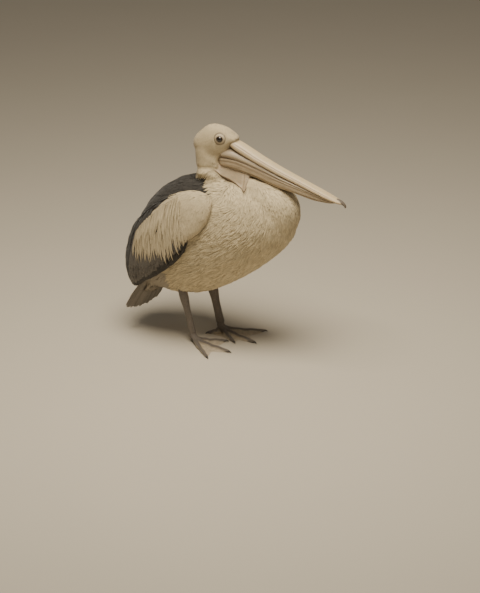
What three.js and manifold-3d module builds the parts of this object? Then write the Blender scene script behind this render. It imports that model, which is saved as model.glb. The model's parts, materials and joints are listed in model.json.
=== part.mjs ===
// A life-size standing pelican with its neck drawn in and its wings folded.
// Millimetres. +X is the way the bird faces, +Y its left side, +Z up, and the floor is Z = 0.
import * as THREE from "three";
import { mergeVertices } from "three/addons/utils/BufferGeometryUtils.js";
import Module from "manifold-3d";

const wasm = await Module();
wasm.setup();

// Driving dimensions.
const GAP = 0.3; // between touching pieces
const SWELL = 0.45; // how far a neighbour is swollen before it cuts a piece, which leaves GAP or more
const BILL_START_X = 82; // where the forehead feathers end
const BILL_REACH = 346; // level run of the bill from there to the tip of the nail
const EYE = { x: 30.5, y: 26.5, z: 656, r: 11 };
const STEP_LENGTH = 41; // how far the left foot stands ahead of the right one
const HALF_STANCE = 55; // from the midline to the middle of each shank
const TOE_JOINT_HEIGHT = 23;
const HOCK_HEIGHT = 157;
const RIGHT_TOE_JOINT_X = -48;
const SHANK_LEAN = 33; // how far the hock lies behind the toe joint
const WEB_THICKNESS = 2.4;
const CLAW_LENGTH = 14;
const TAIL_TWIST = THREE.MathUtils.degToRad(20); // its left edge is turned forwards
const RIGHT = -1; // sign of Y on each side
const LEFT = 1;

const MATERIALS = {
  whitePlumage: new THREE.MeshStandardMaterial({ color: 0xe6dcc4, roughness: 0.9 }),
  blackPlumage: new THREE.MeshStandardMaterial({ color: 0x2b2724, roughness: 0.7 }),
  horn: new THREE.MeshStandardMaterial({ color: 0xe3cdb0, roughness: 0.45 }),
  nail: new THREE.MeshStandardMaterial({ color: 0x8b7b66, roughness: 0.4 }),
  pouchSkin: new THREE.MeshStandardMaterial({ color: 0xa08e76, roughness: 0.6 }),
  legSkin: new THREE.MeshStandardMaterial({ color: 0x4f4a44, roughness: 0.6 }),
  claw: new THREE.MeshStandardMaterial({ color: 0x2e2925, roughness: 0.4 }),
  eye: new THREE.MeshStandardMaterial({ color: 0x2a1c12, roughness: 0.1 }),
};

const v3 = (x, y, z) => new THREE.Vector3(x, y, z);
const curve = (...points) => new THREE.CatmullRomCurve3(points.map((p) => v3(...p)));

// ---------- solids ----------

function solidOf(geometry) {
  const bare = geometry.clone();
  bare.deleteAttribute("normal");
  bare.deleteAttribute("uv");
  const merged = mergeVertices(bare, 1e-3);
  return new wasm.Manifold(
    new wasm.Mesh({
      numProp: 3,
      vertProperties: new Float32Array(merged.attributes.position.array),
      triVerts: new Uint32Array(merged.index.array),
    }),
  );
}

function geometryOf(solid) {
  const { vertProperties, triVerts } = solid.getMesh();
  const geometry = new THREE.BufferGeometry()
    .setAttribute("position", new THREE.BufferAttribute(new Float32Array(vertProperties), 3))
    .setIndex(new THREE.BufferAttribute(new Uint32Array(triVerts), 1));
  geometry.computeVertexNormals();
  return geometry;
}

// The same solid with its surface moved outwards, for cutting a neighbour clear of it.
function swollen(solid) {
  const geometry = geometryOf(solid);
  const { position, normal } = geometry.attributes;
  for (let i = 0; i < position.count; i++)
    position.setXYZ(
      i,
      position.getX(i) + SWELL * normal.getX(i),
      position.getY(i) + SWELL * normal.getY(i),
      position.getZ(i) + SWELL * normal.getZ(i),
    );
  return solidOf(geometry);
}

const clearOf = (solid, ...neighbours) =>
  neighbours.reduce((left, neighbour) => left.subtract(swollen(neighbour)), solid);

// The other side of the bird: Y changes sign, and each face is turned round to keep pointing out.
function mirrored(geometry) {
  const other = geometry.clone().scale(1, -1, 1);
  const { array } = other.index;
  for (let i = 0; i < array.length; i += 3) [array[i + 1], array[i + 2]] = [array[i + 2], array[i + 1]];
  return other;
}

const onSide = (geometry, side) => solidOf(side === LEFT ? mirrored(geometry) : geometry);

// Cuts a solid by a plane and returns the part ahead of it and the part behind it, GAP apart.
function partAt(solid, point, direction) {
  const normal = v3(...direction).normalize();
  const offset = normal.dot(v3(...point));
  return [
    solid.trimByPlane(normal.toArray(), offset + GAP / 2),
    solid.trimByPlane(normal.clone().negate().toArray(), GAP / 2 - offset),
  ];
}

// ---------- lofts ----------

// A smooth value along a body, from [distance, value] rows.
function profile(rows, column) {
  const stations = rows.map((row) => row[0]);
  const fit = new THREE.CubicInterpolant(stations, rows.map((row) => row[column]), 1, new Float32Array(1));
  return (d) => fit.evaluate(THREE.MathUtils.clamp(d, stations[0], stations.at(-1)))[0];
}

// How much of its full size a ring has at distance d, where each end is rounded over its own length.
function rounding(d, length, [start, end]) {
  const arc = (share) => Math.sqrt(Math.max(0, 1 - (1 - Math.min(1, share)) ** 2));
  return arc(d / start) * arc((length - d) / end);
}

// A closed body of oval rings square to a spine. Each station is [distance along the spine, half width,
// rise above the spine, drop below it]; across is the direction of the width.
function loft({ spine, stations, across = [0, 1, 0], ends = [20, 20], sides = 20, rings = 14, square = 2 }) {
  const ball = new THREE.SphereGeometry(1, sides, rings);
  const place = ball.getAttribute("position");
  const length = spine.getLength();
  const [width, rise, drop] = [1, 2, 3].map((column) => profile(stations, column));
  const unit = v3(0, 0, 0);
  for (let i = 0; i < place.count; i++) {
    unit.fromBufferAttribute(place, i);
    const share = THREE.MathUtils.clamp((1 - unit.y) / 2, 0, 1);
    const d = share * length;
    const tangent = spine.getTangentAt(share);
    const up = tangent.clone().cross(v3(...across)).normalize();
    const side = up.clone().cross(tangent);
    const ring = Math.hypot(unit.x, unit.z) || 1;
    const [c, s] = [unit.x / ring, unit.z / ring];
    const full = unit.x || unit.z ? rounding(d, length, ends) : 0;
    const oval = (value) => Math.sign(value) * Math.abs(value) ** (2 / square);
    const point = spine
      .getPointAt(share)
      .addScaledVector(side, full * width(d) * oval(c))
      .addScaledVector(up, full * (s > 0 ? rise(d) : drop(d)) * oval(s));
    place.setXYZ(i, point.x, point.y, point.z);
  }
  return ball;
}

// ---------- body, neck and head ----------

// The spine climbs from the rump to the breast.
const trunkShape = () =>
  loft({
    spine: curve([-290, 0, 168], [-20, 0, 316], [262, 0, 470]),
    stations: [
      [0, 20, 26, 20],
      [50, 44, 78, 52],
      [110, 68, 136, 92],
      [170, 91, 180, 124],
      [250, 108, 210, 142],
      [320, 115, 215, 143],
      [390, 113, 201, 137],
      [450, 106, 176, 128],
      [520, 92, 136, 110],
      [580, 74, 94, 86],
      [621, 52, 60, 56],
    ],
    ends: [55, 70],
    sides: 26,
    rings: 16,
    square: 2.15,
  });

// The lower loop of the neck, which bulges in front of the breast.
const neckLoopShape = () =>
  loft({
    spine: curve([98, 0, 440], [180, 0, 446], [278, 0, 460]),
    stations: [
      [0, 60, 104, 90],
      [30, 68, 112, 104],
      [80, 72, 104, 104],
      [125, 69, 80, 90],
      [160, 58, 58, 70],
      [182, 46, 42, 54],
    ],
    ends: [20, 42],
    sides: 22,
    rings: 12,
    square: 2.3,
  });

// The upper limb of the neck, which runs back under the bill and up to the head.
const neckLimbShape = () =>
  loft({
    spine: curve([160, 0, 442], [95, 0, 466], [35, 0, 498], [-8, 0, 540], [-24, 0, 590], [-16, 0, 650]),
    stations: [
      [0, 52, 50, 50],
      [120, 52, 50, 50],
      [190, 46, 44, 46],
      [250, 37, 40, 44],
      [300, 33, 36, 42],
    ],
    ends: [20, 22],
    sides: 20,
    rings: 12,
  });

const headShape = () =>
  loft({
    spine: curve([-70, 0, 617], [-40, 0, 625], [5, 0, 638], [45, 0, 652], [81, 0, 656]),
    stations: [
      [0, 20, 24, 24],
      [31, 31, 38, 46],
      [52, 35, 49, 58],
      [75, 36.5, 55, 60],
      [98, 35.5, 51, 53],
      [118, 32, 38, 38],
      [134, 27.5, 22, 25],
      [146, 23, 11, 16],
      [157, 17, 6, 9],
    ],
    ends: [26, 12],
    sides: 20,
    rings: 13,
  });

function bodyParts() {
  const whole = [neckLoopShape(), neckLimbShape(), headShape()].reduce(
    (joined, shape) => joined.add(solidOf(shape)),
    solidOf(trunkShape()),
  );
  const [head, below] = partAt(whole, [-20, 0, 580], [0.2, 0, 0.98]);
  const [neckUpper, base] = partAt(below, [-55, 0, 543], [-0.14, 0, 0.99]);
  const [neckLower, trunk] = partAt(base, [150, 0, 448], [0.593, 0, 0.805]);
  return { whole, head, neckUpper, neckLower, trunk };
}

const eyeShape = (side) => new THREE.SphereGeometry(EYE.r, 12, 8).translate(EYE.x, side * EYE.y, EYE.z);

// ---------- bill and pouch ----------

const TIP_X = BILL_START_X + BILL_REACH;

const upperBillShape = () =>
  loft({
    spine: curve(
      [58, 0, 643],
      [BILL_START_X, 0, 630.5],
      [149, 0, 600.5],
      [215, 0, 574.5],
      [280, 0, 552],
      [345, 0, 529.5],
      [403, 0, 510],
      [420, 0, 505],
    ),
    stations: [
      [0, 22, 13, 14],
      [28, 24, 15, 15],
      [100, 24, 13.5, 13],
      [171, 22, 11.5, 11],
      [240, 20, 10, 9.5],
      [309, 19.5, 8.5, 7.5],
      [350, 17, 7, 6.5],
      [370, 13, 6, 6],
      [390, 8, 5, 4.5],
    ],
    ends: [8, 16],
    sides: 14,
    rings: 12,
  });

const nailShape = () =>
  loft({
    spine: curve([394, 0, 516], [410, 0, 510.5], [TIP_X - 7, 0, 504], [TIP_X - 2, 0, 498], [TIP_X - 2.5, 0, 492]),
    stations: [
      [0, 6, 4, 5],
      [17, 7.5, 4.5, 5.5],
      [28, 6, 4, 4.5],
      [37, 4, 3, 3],
      [44, 2.2, 1.8, 1.8],
    ],
    ends: [7, 4],
    sides: 10,
    rings: 8,
  });

const lowerBillShape = () =>
  loft({
    spine: curve(
      [17, 0, 604],
      [60, 0, 607],
      [93, 0, 600],
      [159, 0, 579],
      [224, 0, 557],
      [289, 0, 538],
      [354, 0, 519.5],
      [410, 0, 505],
    ),
    stations: [
      [0, 29, 12, 10],
      [43, 29, 20, 17],
      [78, 26, 18, 14],
      [148, 23, 14, 10],
      [216, 21, 9, 6],
      [284, 19, 8, 5],
      [352, 16, 6, 4],
      [408, 9, 3, 3],
    ],
    ends: [12, 12],
    sides: 12,
    rings: 12,
  });

// The loose skin hangs between the two arms of the lower bill.
const pouchShape = () =>
  loft({
    spine: curve([8, 0, 580], [67, 0, 582], [142, 0, 565], [208, 0, 547], [273, 0, 532], [330, 0, 518], [396, 0, 504]),
    stations: [
      [0, 27, 22, 8],
      [60, 27, 24, 20],
      [136, 25, 22, 18],
      [204, 23, 18, 20],
      [272, 20, 14, 16],
      [330, 17, 12, 14],
      [398, 8, 4, 3],
    ],
    ends: [10, 24],
    sides: 14,
    rings: 11,
    square: 2.4,
  });

// Behind, the skin sags on to the drawn-in neck.
const throatShape = () =>
  loft({
    spine: curve([0, 0, 570], [60, 0, 554], [127, 0, 534]),
    stations: [
      [0, 27, 20, 14],
      [60, 26, 24, 20],
      [110, 25, 26, 34],
      [132, 24, 26, 30],
    ],
    ends: [10, 8],
    sides: 12,
    rings: 7,
    square: 2.4,
  });

// ---------- wings and tail ----------

// One folded wing: its spine runs from the wrist, behind the neck, down to the wing tip beside the tail.
const wingShape = () =>
  loft({
    spine: curve(
      [33, -82, 486],
      [-16, -96, 452],
      [-74, -100, 404],
      [-131, -96, 348],
      [-190, -84, 284],
      [-238, -66, 212],
      [-252, -52, 148],
    ),
    stations: [
      [0, 34, 26, 30],
      [60, 64, 28, 40],
      [135, 85, 28, 46],
      [215, 95, 27, 46],
      [300, 88, 25, 40],
      [385, 62, 21, 28],
      [455, 26, 12, 14],
    ],
    across: [0.64, -0.3, -0.71],
    ends: [46, 34],
    sides: 20,
    rings: 14,
  });

const tailShape = () =>
  loft({
    spine: curve([-155, 0, 218], [-208, 0, 150], [-256, 0, 62]),
    stations: [
      [0, 34, 22, 22],
      [90, 52, 15, 15],
      [150, 66, 9, 9],
      [188, 74, 5, 5],
    ],
    across: [Math.sin(TAIL_TWIST), Math.cos(TAIL_TWIST), 0],
    ends: [20, 16],
    sides: 22,
    rings: 10,
    square: 2.6,
  });

// ---------- legs ----------

// Toe angles are in degrees from straight ahead, positive to the inner side of the foot. Toe 1 points in
// and back and the others spread forwards. The left foot is turned in.
const FEET = {
  right: { side: RIGHT, jointX: RIGHT_TOE_JOINT_X, angles: [118, 25, -12, -45] },
  left: { side: LEFT, jointX: RIGHT_TOE_JOINT_X + STEP_LENGTH, angles: [128, 41, 17, -24] },
};

const TOES = [
  { number: 1, length: 46, root: 6.5, tip: 4 },
  { number: 2, length: 100, root: 8, tip: 4.5 },
  { number: 3, length: 138, root: 8.5, tip: 4.7 },
  { number: 4, length: 134, root: 8, tip: 4.5 },
];

// Points of one foot are [distance from the toe joint, height] along a toe; this puts them in the bird's frame.
function footPlace({ side, jointX, angles }, toe) {
  const heading = THREE.MathUtils.degToRad(-side * angles[toe.number - 1]);
  return (distance, height) => [
    jointX + distance * Math.cos(heading),
    side * HALF_STANCE + distance * Math.sin(heading),
    height,
  ];
}

function toeShape(foot, toe) {
  const at = footPlace(foot, toe);
  const knuckle = 0.8;
  return loft({
    spine: curve(
      at(-2, TOE_JOINT_HEIGHT - 4),
      at(0.16 * toe.length, 11),
      at(0.36 * toe.length, 6),
      at(0.7 * toe.length, 5),
      at(toe.length, 4.4),
    ),
    stations: [
      [0, toe.root, toe.root, toe.root],
      [0.3 * toe.length, toe.root - 1, 6, 6],
      [0.42 * toe.length, toe.root - 1 + knuckle, 6 + knuckle, 6],
      [0.56 * toe.length, toe.tip + 1, 5, 6],
      [0.72 * toe.length, toe.tip + 1 + knuckle, 5 + knuckle, 6],
      [toe.length, toe.tip, toe.tip, 5],
    ],
    ends: [7, 6],
    sides: 6,
    rings: 6,
  });
}

function clawShape(foot, toe) {
  const at = footPlace(foot, toe);
  const root = toe.length - 5;
  return loft({
    spine: curve(at(root, 5.5), at(root + CLAW_LENGTH / 2, 5.4), at(root + CLAW_LENGTH, 2)),
    stations: [
      [0, 3, 2.6, 2.6],
      [CLAW_LENGTH / 2, 2.6, 2.2, 2.2],
      [CLAW_LENGTH, 1, 0.9, 0.9],
    ],
    ends: [3, 2],
    sides: 6,
    rings: 6,
  });
}

// The web lies flat on the floor and joins all four toes; its edge sags back between two toes.
function webShape(foot) {
  const [hind, inner, middle, outer] = TOES.map((toe) => {
    const at = footPlace(foot, toe);
    return { tip: at(toe.length - 4, 0), waist: at(0.72 * toe.length, 0) };
  });
  const outline = new THREE.Shape().moveTo(...hind.tip.slice(0, 2));
  const edge = (from, to) =>
    outline.quadraticCurveTo(
      (from.waist[0] + to.waist[0]) / 2,
      (from.waist[1] + to.waist[1]) / 2,
      to.tip[0],
      to.tip[1],
    );
  edge(hind, inner);
  edge(inner, middle);
  edge(middle, outer);
  outline.lineTo(foot.jointX - 4, foot.side * (HALF_STANCE + 3));
  outline.closePath();
  return new THREE.ExtrudeGeometry(outline, { depth: WEB_THICKNESS, bevelEnabled: false, curveSegments: 4 });
}

const toeJointShape = ({ side, jointX }) =>
  new THREE.SphereGeometry(1, 10, 6)
    .scale(13, 10, 11)
    .translate(jointX - 2, side * HALF_STANCE, TOE_JOINT_HEIGHT - 2);

const shankShape = ({ side, jointX }) =>
  loft({
    spine: curve(
      [jointX - SHANK_LEAN - 3, side * (HALF_STANCE + 1), HOCK_HEIGHT + 8],
      [jointX - 0.5 * SHANK_LEAN, side * HALF_STANCE, 0.55 * HOCK_HEIGHT],
      [jointX - 2, side * HALF_STANCE, TOE_JOINT_HEIGHT],
    ),
    stations: [
      [0, 10, 14, 14],
      [22, 10, 13.5, 14],
      [60, 7.5, 10.5, 10.5],
      [110, 7.5, 10.5, 10.5],
      [145, 9, 12, 11],
    ],
    ends: [12, 12],
    sides: 12,
    rings: 9,
  });

const thighShape = ({ side, jointX }) =>
  loft({
    spine: curve(
      [jointX - SHANK_LEAN + 34, side * (HALF_STANCE - 6), HOCK_HEIGHT + 92],
      [jointX - SHANK_LEAN + 10, side * (HALF_STANCE - 1), HOCK_HEIGHT + 46],
      [jointX - SHANK_LEAN - 2, side * HALF_STANCE, HOCK_HEIGHT + 6],
    ),
    stations: [
      [0, 36, 40, 44],
      [50, 28, 32, 34],
      [95, 15, 19, 19],
    ],
    ends: [16, 10],
    sides: 18,
    rings: 10,
  });

function legParts(foot, trunk) {
  const claws = TOES.map((toe) => solidOf(clawShape(foot, toe)));
  const soles = TOES.map((toe) => solidOf(toeShape(foot, toe)));
  const joint = solidOf(toeJointShape(foot));
  const onFloor = [...soles, solidOf(webShape(foot))]
    .reduce((joined, piece) => joined.add(piece), joint)
    .trimByPlane([0, 0, 1], 0);
  const thighWhole = solidOf(thighShape(foot));
  const thigh = clearOf(thighWhole, trunk);
  const shank = clearOf(solidOf(shankShape(foot)), thighWhole, trunk, onFloor);
  return { foot: clearOf(onFloor, ...claws), shank, thigh, claws };
}

// ---------- assembly ----------

const pelican = new THREE.Group();

function place(name, solid, material) {
  const mesh = new THREE.Mesh(geometryOf(solid), material);
  mesh.name = name;
  pelican.add(mesh);
}

// Only the largest body of a solid, without the slivers that a cut can leave.
const largest = (solid) => solid.decompose().reduce((a, b) => (b.volume() > a.volume() ? b : a));

const { whitePlumage, blackPlumage, horn, nail, pouchSkin, legSkin, claw, eye } = MATERIALS;
const body = bodyParts();
const eyes = { right: solidOf(eyeShape(RIGHT)), left: solidOf(eyeShape(LEFT)) };
const nailSolid = solidOf(nailShape());
const upperWhole = solidOf(upperBillShape());
const lowerWhole = solidOf(lowerBillShape());
const upperBill = largest(clearOf(upperWhole, body.whole, nailSolid));
const lowerBill = largest(clearOf(lowerWhole, body.whole, upperWhole, nailSolid));
const pouchWhole = solidOf(pouchShape()).add(solidOf(throatShape()));
const pouch = largest(clearOf(pouchWhole, body.whole, upperWhole, lowerWhole, nailSolid));

place("head", largest(clearOf(body.head, eyes.right, eyes.left)), whitePlumage);
place("neck_upper", body.neckUpper, whitePlumage);
place("neck_lower", body.neckLower, whitePlumage);
place("eye_right", eyes.right, eye);
place("eye_left", eyes.left, eye);
place("bill_upper", upperBill, horn);
place("bill_nail", nailSolid, nail);
place("bill_lower", lowerBill, pouchSkin);
place("throat_pouch", pouch, pouchSkin);
place("trunk", largest(body.trunk), whitePlumage);

const wings = [];
for (const [name, { side }] of Object.entries(FEET)) {
  const wingWhole = onSide(wingShape(), side);
  const wing = largest(clearOf(wingWhole, body.whole));
  const [coverts, flight] = partAt(wing, [-150, 0, 262], [0.12, 0, 0.99]);
  place(`wing_coverts_${name}`, largest(coverts), whitePlumage);
  place(`wing_flight_${name}`, largest(flight), blackPlumage);
  wings.push(wingWhole);
}
place("tail", largest(clearOf(solidOf(tailShape()), body.whole, ...wings)), blackPlumage);

for (const [name, foot] of Object.entries(FEET)) {
  const leg = legParts(foot, body.trunk);
  place(`thigh_${name}`, largest(leg.thigh), whitePlumage);
  place(`shank_${name}`, largest(leg.shank), legSkin);
  place(`foot_${name}`, largest(leg.foot), legSkin);
  leg.claws.forEach((solid, i) => place(`claw_${name}_${TOES[i].number}`, solid, claw));
}

// The origin is on the floor under the middle of the bird's box.
const middle = new THREE.Box3().setFromObject(pelican).getCenter(v3(0, 0, 0));
pelican.position.set(-middle.x, -middle.y, 0);

export default pelican;
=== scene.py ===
"""A standing Australian pelican, still and life size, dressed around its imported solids.

Sizes are in the bird's own millimetres: +X the way it faces, +Y its left side, +Z up, with the
floor at Z = 0. Place.at turns them into the frame's metres.
"""

import sys
import json
import logging
import math
from dataclasses import dataclass, field
from enum import Enum
from typing import Callable, Iterable, Sequence

import bpy
import numpy as np
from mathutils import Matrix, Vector
from mathutils.bvhtree import BVHTree

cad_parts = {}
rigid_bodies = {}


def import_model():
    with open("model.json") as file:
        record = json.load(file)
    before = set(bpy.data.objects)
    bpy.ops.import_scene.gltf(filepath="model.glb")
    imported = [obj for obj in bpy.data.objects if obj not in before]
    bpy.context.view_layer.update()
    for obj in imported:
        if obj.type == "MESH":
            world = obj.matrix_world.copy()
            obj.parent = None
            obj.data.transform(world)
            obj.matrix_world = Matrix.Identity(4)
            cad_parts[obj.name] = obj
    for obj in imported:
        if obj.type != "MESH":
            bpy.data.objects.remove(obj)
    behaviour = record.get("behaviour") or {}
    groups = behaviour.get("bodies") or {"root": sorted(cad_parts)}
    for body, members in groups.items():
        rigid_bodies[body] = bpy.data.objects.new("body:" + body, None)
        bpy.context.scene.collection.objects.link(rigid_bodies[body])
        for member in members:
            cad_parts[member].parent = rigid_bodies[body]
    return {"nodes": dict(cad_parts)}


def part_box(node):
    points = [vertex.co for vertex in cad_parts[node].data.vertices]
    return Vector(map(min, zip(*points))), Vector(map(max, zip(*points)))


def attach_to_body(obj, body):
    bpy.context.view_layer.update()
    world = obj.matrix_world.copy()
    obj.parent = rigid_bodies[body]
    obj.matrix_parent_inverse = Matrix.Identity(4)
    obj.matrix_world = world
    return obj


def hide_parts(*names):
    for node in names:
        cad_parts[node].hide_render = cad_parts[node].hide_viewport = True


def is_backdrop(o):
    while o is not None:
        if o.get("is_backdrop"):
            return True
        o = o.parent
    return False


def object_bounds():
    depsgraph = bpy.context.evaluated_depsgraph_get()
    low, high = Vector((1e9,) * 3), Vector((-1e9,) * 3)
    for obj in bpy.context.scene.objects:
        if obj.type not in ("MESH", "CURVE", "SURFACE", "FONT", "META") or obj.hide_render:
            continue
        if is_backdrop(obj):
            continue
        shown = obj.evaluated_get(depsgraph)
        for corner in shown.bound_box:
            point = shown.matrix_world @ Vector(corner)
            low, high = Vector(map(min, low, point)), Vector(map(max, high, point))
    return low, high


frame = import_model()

CAD_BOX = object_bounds()
LOG = logging.getLogger("pelican")
MM = 0.001
RIGHT, LEFT = -1, 1
SIDES = {RIGHT: "right", LEFT: "left"}
EYE_CENTRE, EYE_RADIUS = (30.5, 26.5, 656.0), 11.0
FAR = 60.0  # mm; bare parts further off than this don't matter to the coat
VENT_FRONT, VENT_END = -104.0, 134.0  # the x where the vent's darker coat, painted shade with some dirt, begins, the z where it ends

Array = np.ndarray
Color = Point = tuple[float, float, float]
Table = Sequence[Sequence[float]]
Socket, Node, Tree = bpy.types.NodeSocket, bpy.types.Node, bpy.types.NodeTree
Mesh, Thing, Material = bpy.types.Mesh, bpy.types.Object, bpy.types.Material


class Place:
    """Where the bird's own millimetres lie in the frame."""

    _low, _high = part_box("eye_right")
    SHIFT = np.array((_low + _high) / 2) - np.array(
        [EYE_CENTRE[0], RIGHT * EYE_CENTRE[1], EYE_CENTRE[2]]) * MM

    @classmethod
    def at(cls, points: Array | Sequence[float]) -> Array:
        """Returns points, given in the bird's millimetres, in the frame's metres."""
        return np.asarray(points, float) * MM + cls.SHIFT

    @classmethod
    def back(cls, points: Array) -> Array:
        """Returns points, given in the frame's metres, in the bird's millimetres."""
        return (np.asarray(points, float) - cls.SHIFT) / MM


# -------- small geometry


def unit(vectors: Array) -> Array:
    """Returns the vectors at length 1."""
    vectors = np.asarray(vectors, float)
    return vectors / np.maximum(np.linalg.norm(vectors, axis=-1, keepdims=True), 1e-9)


def ramp(value: Array | float, low: float, high: float) -> Array:
    """Returns a smooth 0 to 1 as value goes from low to high."""
    share = np.clip((np.asarray(value, float) - low) / (high - low), 0, 1)
    return share * share * (3 - 2 * share)


def bump(value: Array | float, centre: float, width: float) -> Array:
    """Returns a bell of height 1 about centre."""
    return np.exp(-(((np.asarray(value, float) - centre) / width) ** 2))


def level(angle: Array) -> Array:
    """Returns how far above level an angle round a body is, in degrees, the same on both sides."""
    return np.degrees(np.arcsin(np.sin(angle)))


def profile(rows: Table, column: int, d: Array) -> Array:
    """Returns a smooth value along a body.

    Args:
        rows: Stations, each the distance along the body and then its values.
        column: Which value.
        d: Distances to read it at.
    """
    table = np.asarray(rows, float)
    x, y = table[:, 0], table[:, column]
    slope = np.gradient(y, x)
    d = np.clip(d, x[0], x[-1])
    i = np.clip(np.searchsorted(x, d) - 1, 0, len(x) - 2)
    h = x[i + 1] - x[i]
    t = (d - x[i]) / h
    return (
        y[i] * (2 * t**3 - 3 * t**2 + 1)
        + h * slope[i] * (t**3 - 2 * t**2 + t)
        + y[i + 1] * (3 * t**2 - 2 * t**3)
        + h * slope[i + 1] * (t**3 - t**2)
    )


class Spine:
    """A smooth curve through points, measured along its own length."""

    def __init__(self, points: Table) -> None:
        """Draws the curve through the points, in their order."""
        knots = np.asarray(points, float)
        padded = np.vstack([2 * knots[0] - knots[1], knots, 2 * knots[-1] - knots[-2]])
        spans = [self._span(*padded[i : i + 4]) for i in range(len(knots) - 1)]
        self.points = np.vstack([*spans, knots[-1:]])
        steps = np.linalg.norm(np.diff(self.points, axis=0), axis=1)
        self.marks = np.concatenate([[0], np.cumsum(steps)])
        self.length = float(self.marks[-1])

    @staticmethod
    def _span(a: Array, b: Array, c: Array, d: Array, count: int = 40) -> Array:
        """Returns the curve from b to c, with a and d as its neighbours."""
        t0 = 0.0
        t1 = t0 + np.linalg.norm(b - a) ** 0.5
        t2 = t1 + np.linalg.norm(c - b) ** 0.5
        t3 = t2 + np.linalg.norm(d - c) ** 0.5
        t = np.linspace(t1, t2, count, endpoint=False)[:, None]
        ab = (t1 - t) / (t1 - t0) * a + (t - t0) / (t1 - t0) * b
        bc = (t2 - t) / (t2 - t1) * b + (t - t1) / (t2 - t1) * c
        cd = (t3 - t) / (t3 - t2) * c + (t - t2) / (t3 - t2) * d
        abc = (t2 - t) / (t2 - t0) * ab + (t - t0) / (t2 - t0) * bc
        bcd = (t3 - t) / (t3 - t1) * bc + (t - t1) / (t3 - t1) * cd
        return (t2 - t) / (t2 - t1) * abc + (t - t1) / (t2 - t1) * bcd

    def at(self, d: Array) -> Array:
        """Returns the points at distances d."""
        return np.stack([np.interp(d, self.marks, self.points[:, k]) for k in range(3)], -1)

    def way(self, d: Array) -> Array:
        """Returns the directions at distances d."""
        return unit(self.at(np.asarray(d) + 0.5) - self.at(np.asarray(d) - 0.5))


@dataclass
class Shell:
    """A surface of triangles, with what its points and corners carry.

    Attributes:
        points: Points in the bird's millimetres.
        tris: Rows of three point numbers, facing outwards.
        uv: The place of each corner along and round its shape, one row of three for each triangle.
        marks: Named values, one for each point.
        finish: The number of each triangle's material.
    """

    points: Array
    tris: Array
    uv: Array | None = None
    marks: dict[str, Array] = field(default_factory=dict)
    finish: Array | None = None

    @staticmethod
    def join(shells: Iterable["Shell"]) -> "Shell":
        """Returns the shells as one; a mark that one of them lacks is 0 there."""
        shells = list(shells)
        starts = np.cumsum([0] + [len(s.points) for s in shells])
        names = sorted({name for s in shells for name in s.marks})
        blank = lambda s: np.zeros((len(s.tris), 3, 2))
        return Shell(
            np.vstack([s.points for s in shells]),
            np.vstack([s.tris + start for s, start in zip(shells, starts)]),
            np.concatenate([blank(s) if s.uv is None else s.uv for s in shells]),
            {n: np.concatenate([s.marks.get(n, np.zeros(len(s.points))) for s in shells]) for n in names},
            np.concatenate([np.zeros(len(s.tris), int) if s.finish is None else s.finish for s in shells]),
        )

    def normals(self) -> Array:
        """Returns the outward direction at each point."""
        a, b, c = (self.points[self.tris[:, k]] for k in range(3))
        face = np.cross(b - a, c - a)
        total = np.zeros_like(self.points)
        for corner in range(3):
            for axis in range(3):
                total[:, axis] += np.bincount(self.tris[:, corner], face[:, axis], len(self.points))
        return unit(total)

    def edges(self) -> Array:
        """Returns each pair of joined points once."""
        pairs = np.sort(np.vstack([self.tris[:, [0, 1]], self.tris[:, [1, 2]], self.tris[:, [2, 0]]]),
            axis=1)
        return np.unique(pairs, axis=0)

    def eased(self, values: Array, rounds: int, shrink: bool = False) -> Array:
        """Returns values, one row for each point, smoothed over the surface.

        Args:
            values: Numbers or rows of numbers.
            rounds: How many times they are averaged with their neighbours.
            shrink: Whether plain averaging may draw them together.
        """
        edges = self.edges()
        near, far = np.concatenate([edges[:, 0], edges[:, 1]]), np.concatenate([edges[:, 1], edges[:, 0]])
        count = np.bincount(near, minlength=len(self.points))[:, None]
        rows = np.asarray(values, float).reshape(len(self.points), -1)
        for _ in range(rounds):
            for factor in (0.5,) if shrink else (0.5, -0.52):
                total = [np.bincount(near, column[far], len(self.points)) for column in rows.T]
                rows = rows + factor * (np.stack(total, -1) / np.maximum(count, 1) - rows)
        return rows.reshape(np.shape(values))

    def tree(self) -> BVHTree:
        """Returns a search tree of the surface."""
        return BVHTree.FromPolygons(self.points.tolist(), self.tris.tolist())

    def mirrored(self) -> "Shell":
        """Returns the same surface on the bird's other side."""
        return Shell(
            self.points * [1, -1, 1],
            self.tris[:, ::-1],
            None if self.uv is None else self.uv[:, ::-1],
            self.marks,
            self.finish,
        )

    def mesh(self, name: str, points: Array, uv_name: str) -> Mesh:
        """Returns a new mesh of the surface with the given points, its map and its marks."""
        mesh = bpy.data.meshes.new(name)
        mesh.from_pydata(points.tolist(), [], self.tris.tolist())
        mesh.shade_smooth()
        if self.uv is not None:
            mesh.uv_layers.new(name=uv_name).data.foreach_set("uv", self.uv.astype(np.float32).ravel())
        for key, values in self.marks.items():
            kind, slot = ("FLOAT_VECTOR", "vector") if np.ndim(values) == 2 else ("FLOAT", "value")
            data = mesh.attributes.new(key, kind, "POINT").data
            data.foreach_set(slot, values.astype(np.float32).ravel())
        return mesh

    def object(self, name: str, materials: Sequence[Material] = (), uv_name: str = "span") -> Thing:
        """Returns a new object of the surface, linked to the scene.

        Args:
            name: The object's name.
            materials: Its materials, in the order of the finish numbers.
            uv_name: The name of the map that uv fills.
        """
        mesh = self.mesh(name, Place.at(self.points), uv_name)
        for material in materials:
            mesh.materials.append(material)
        if self.finish is not None:
            mesh.polygons.foreach_set("material_index", self.finish.astype(np.int32))
        thing = bpy.data.objects.new(name, mesh)
        bpy.context.scene.collection.objects.link(thing)
        return thing


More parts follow.
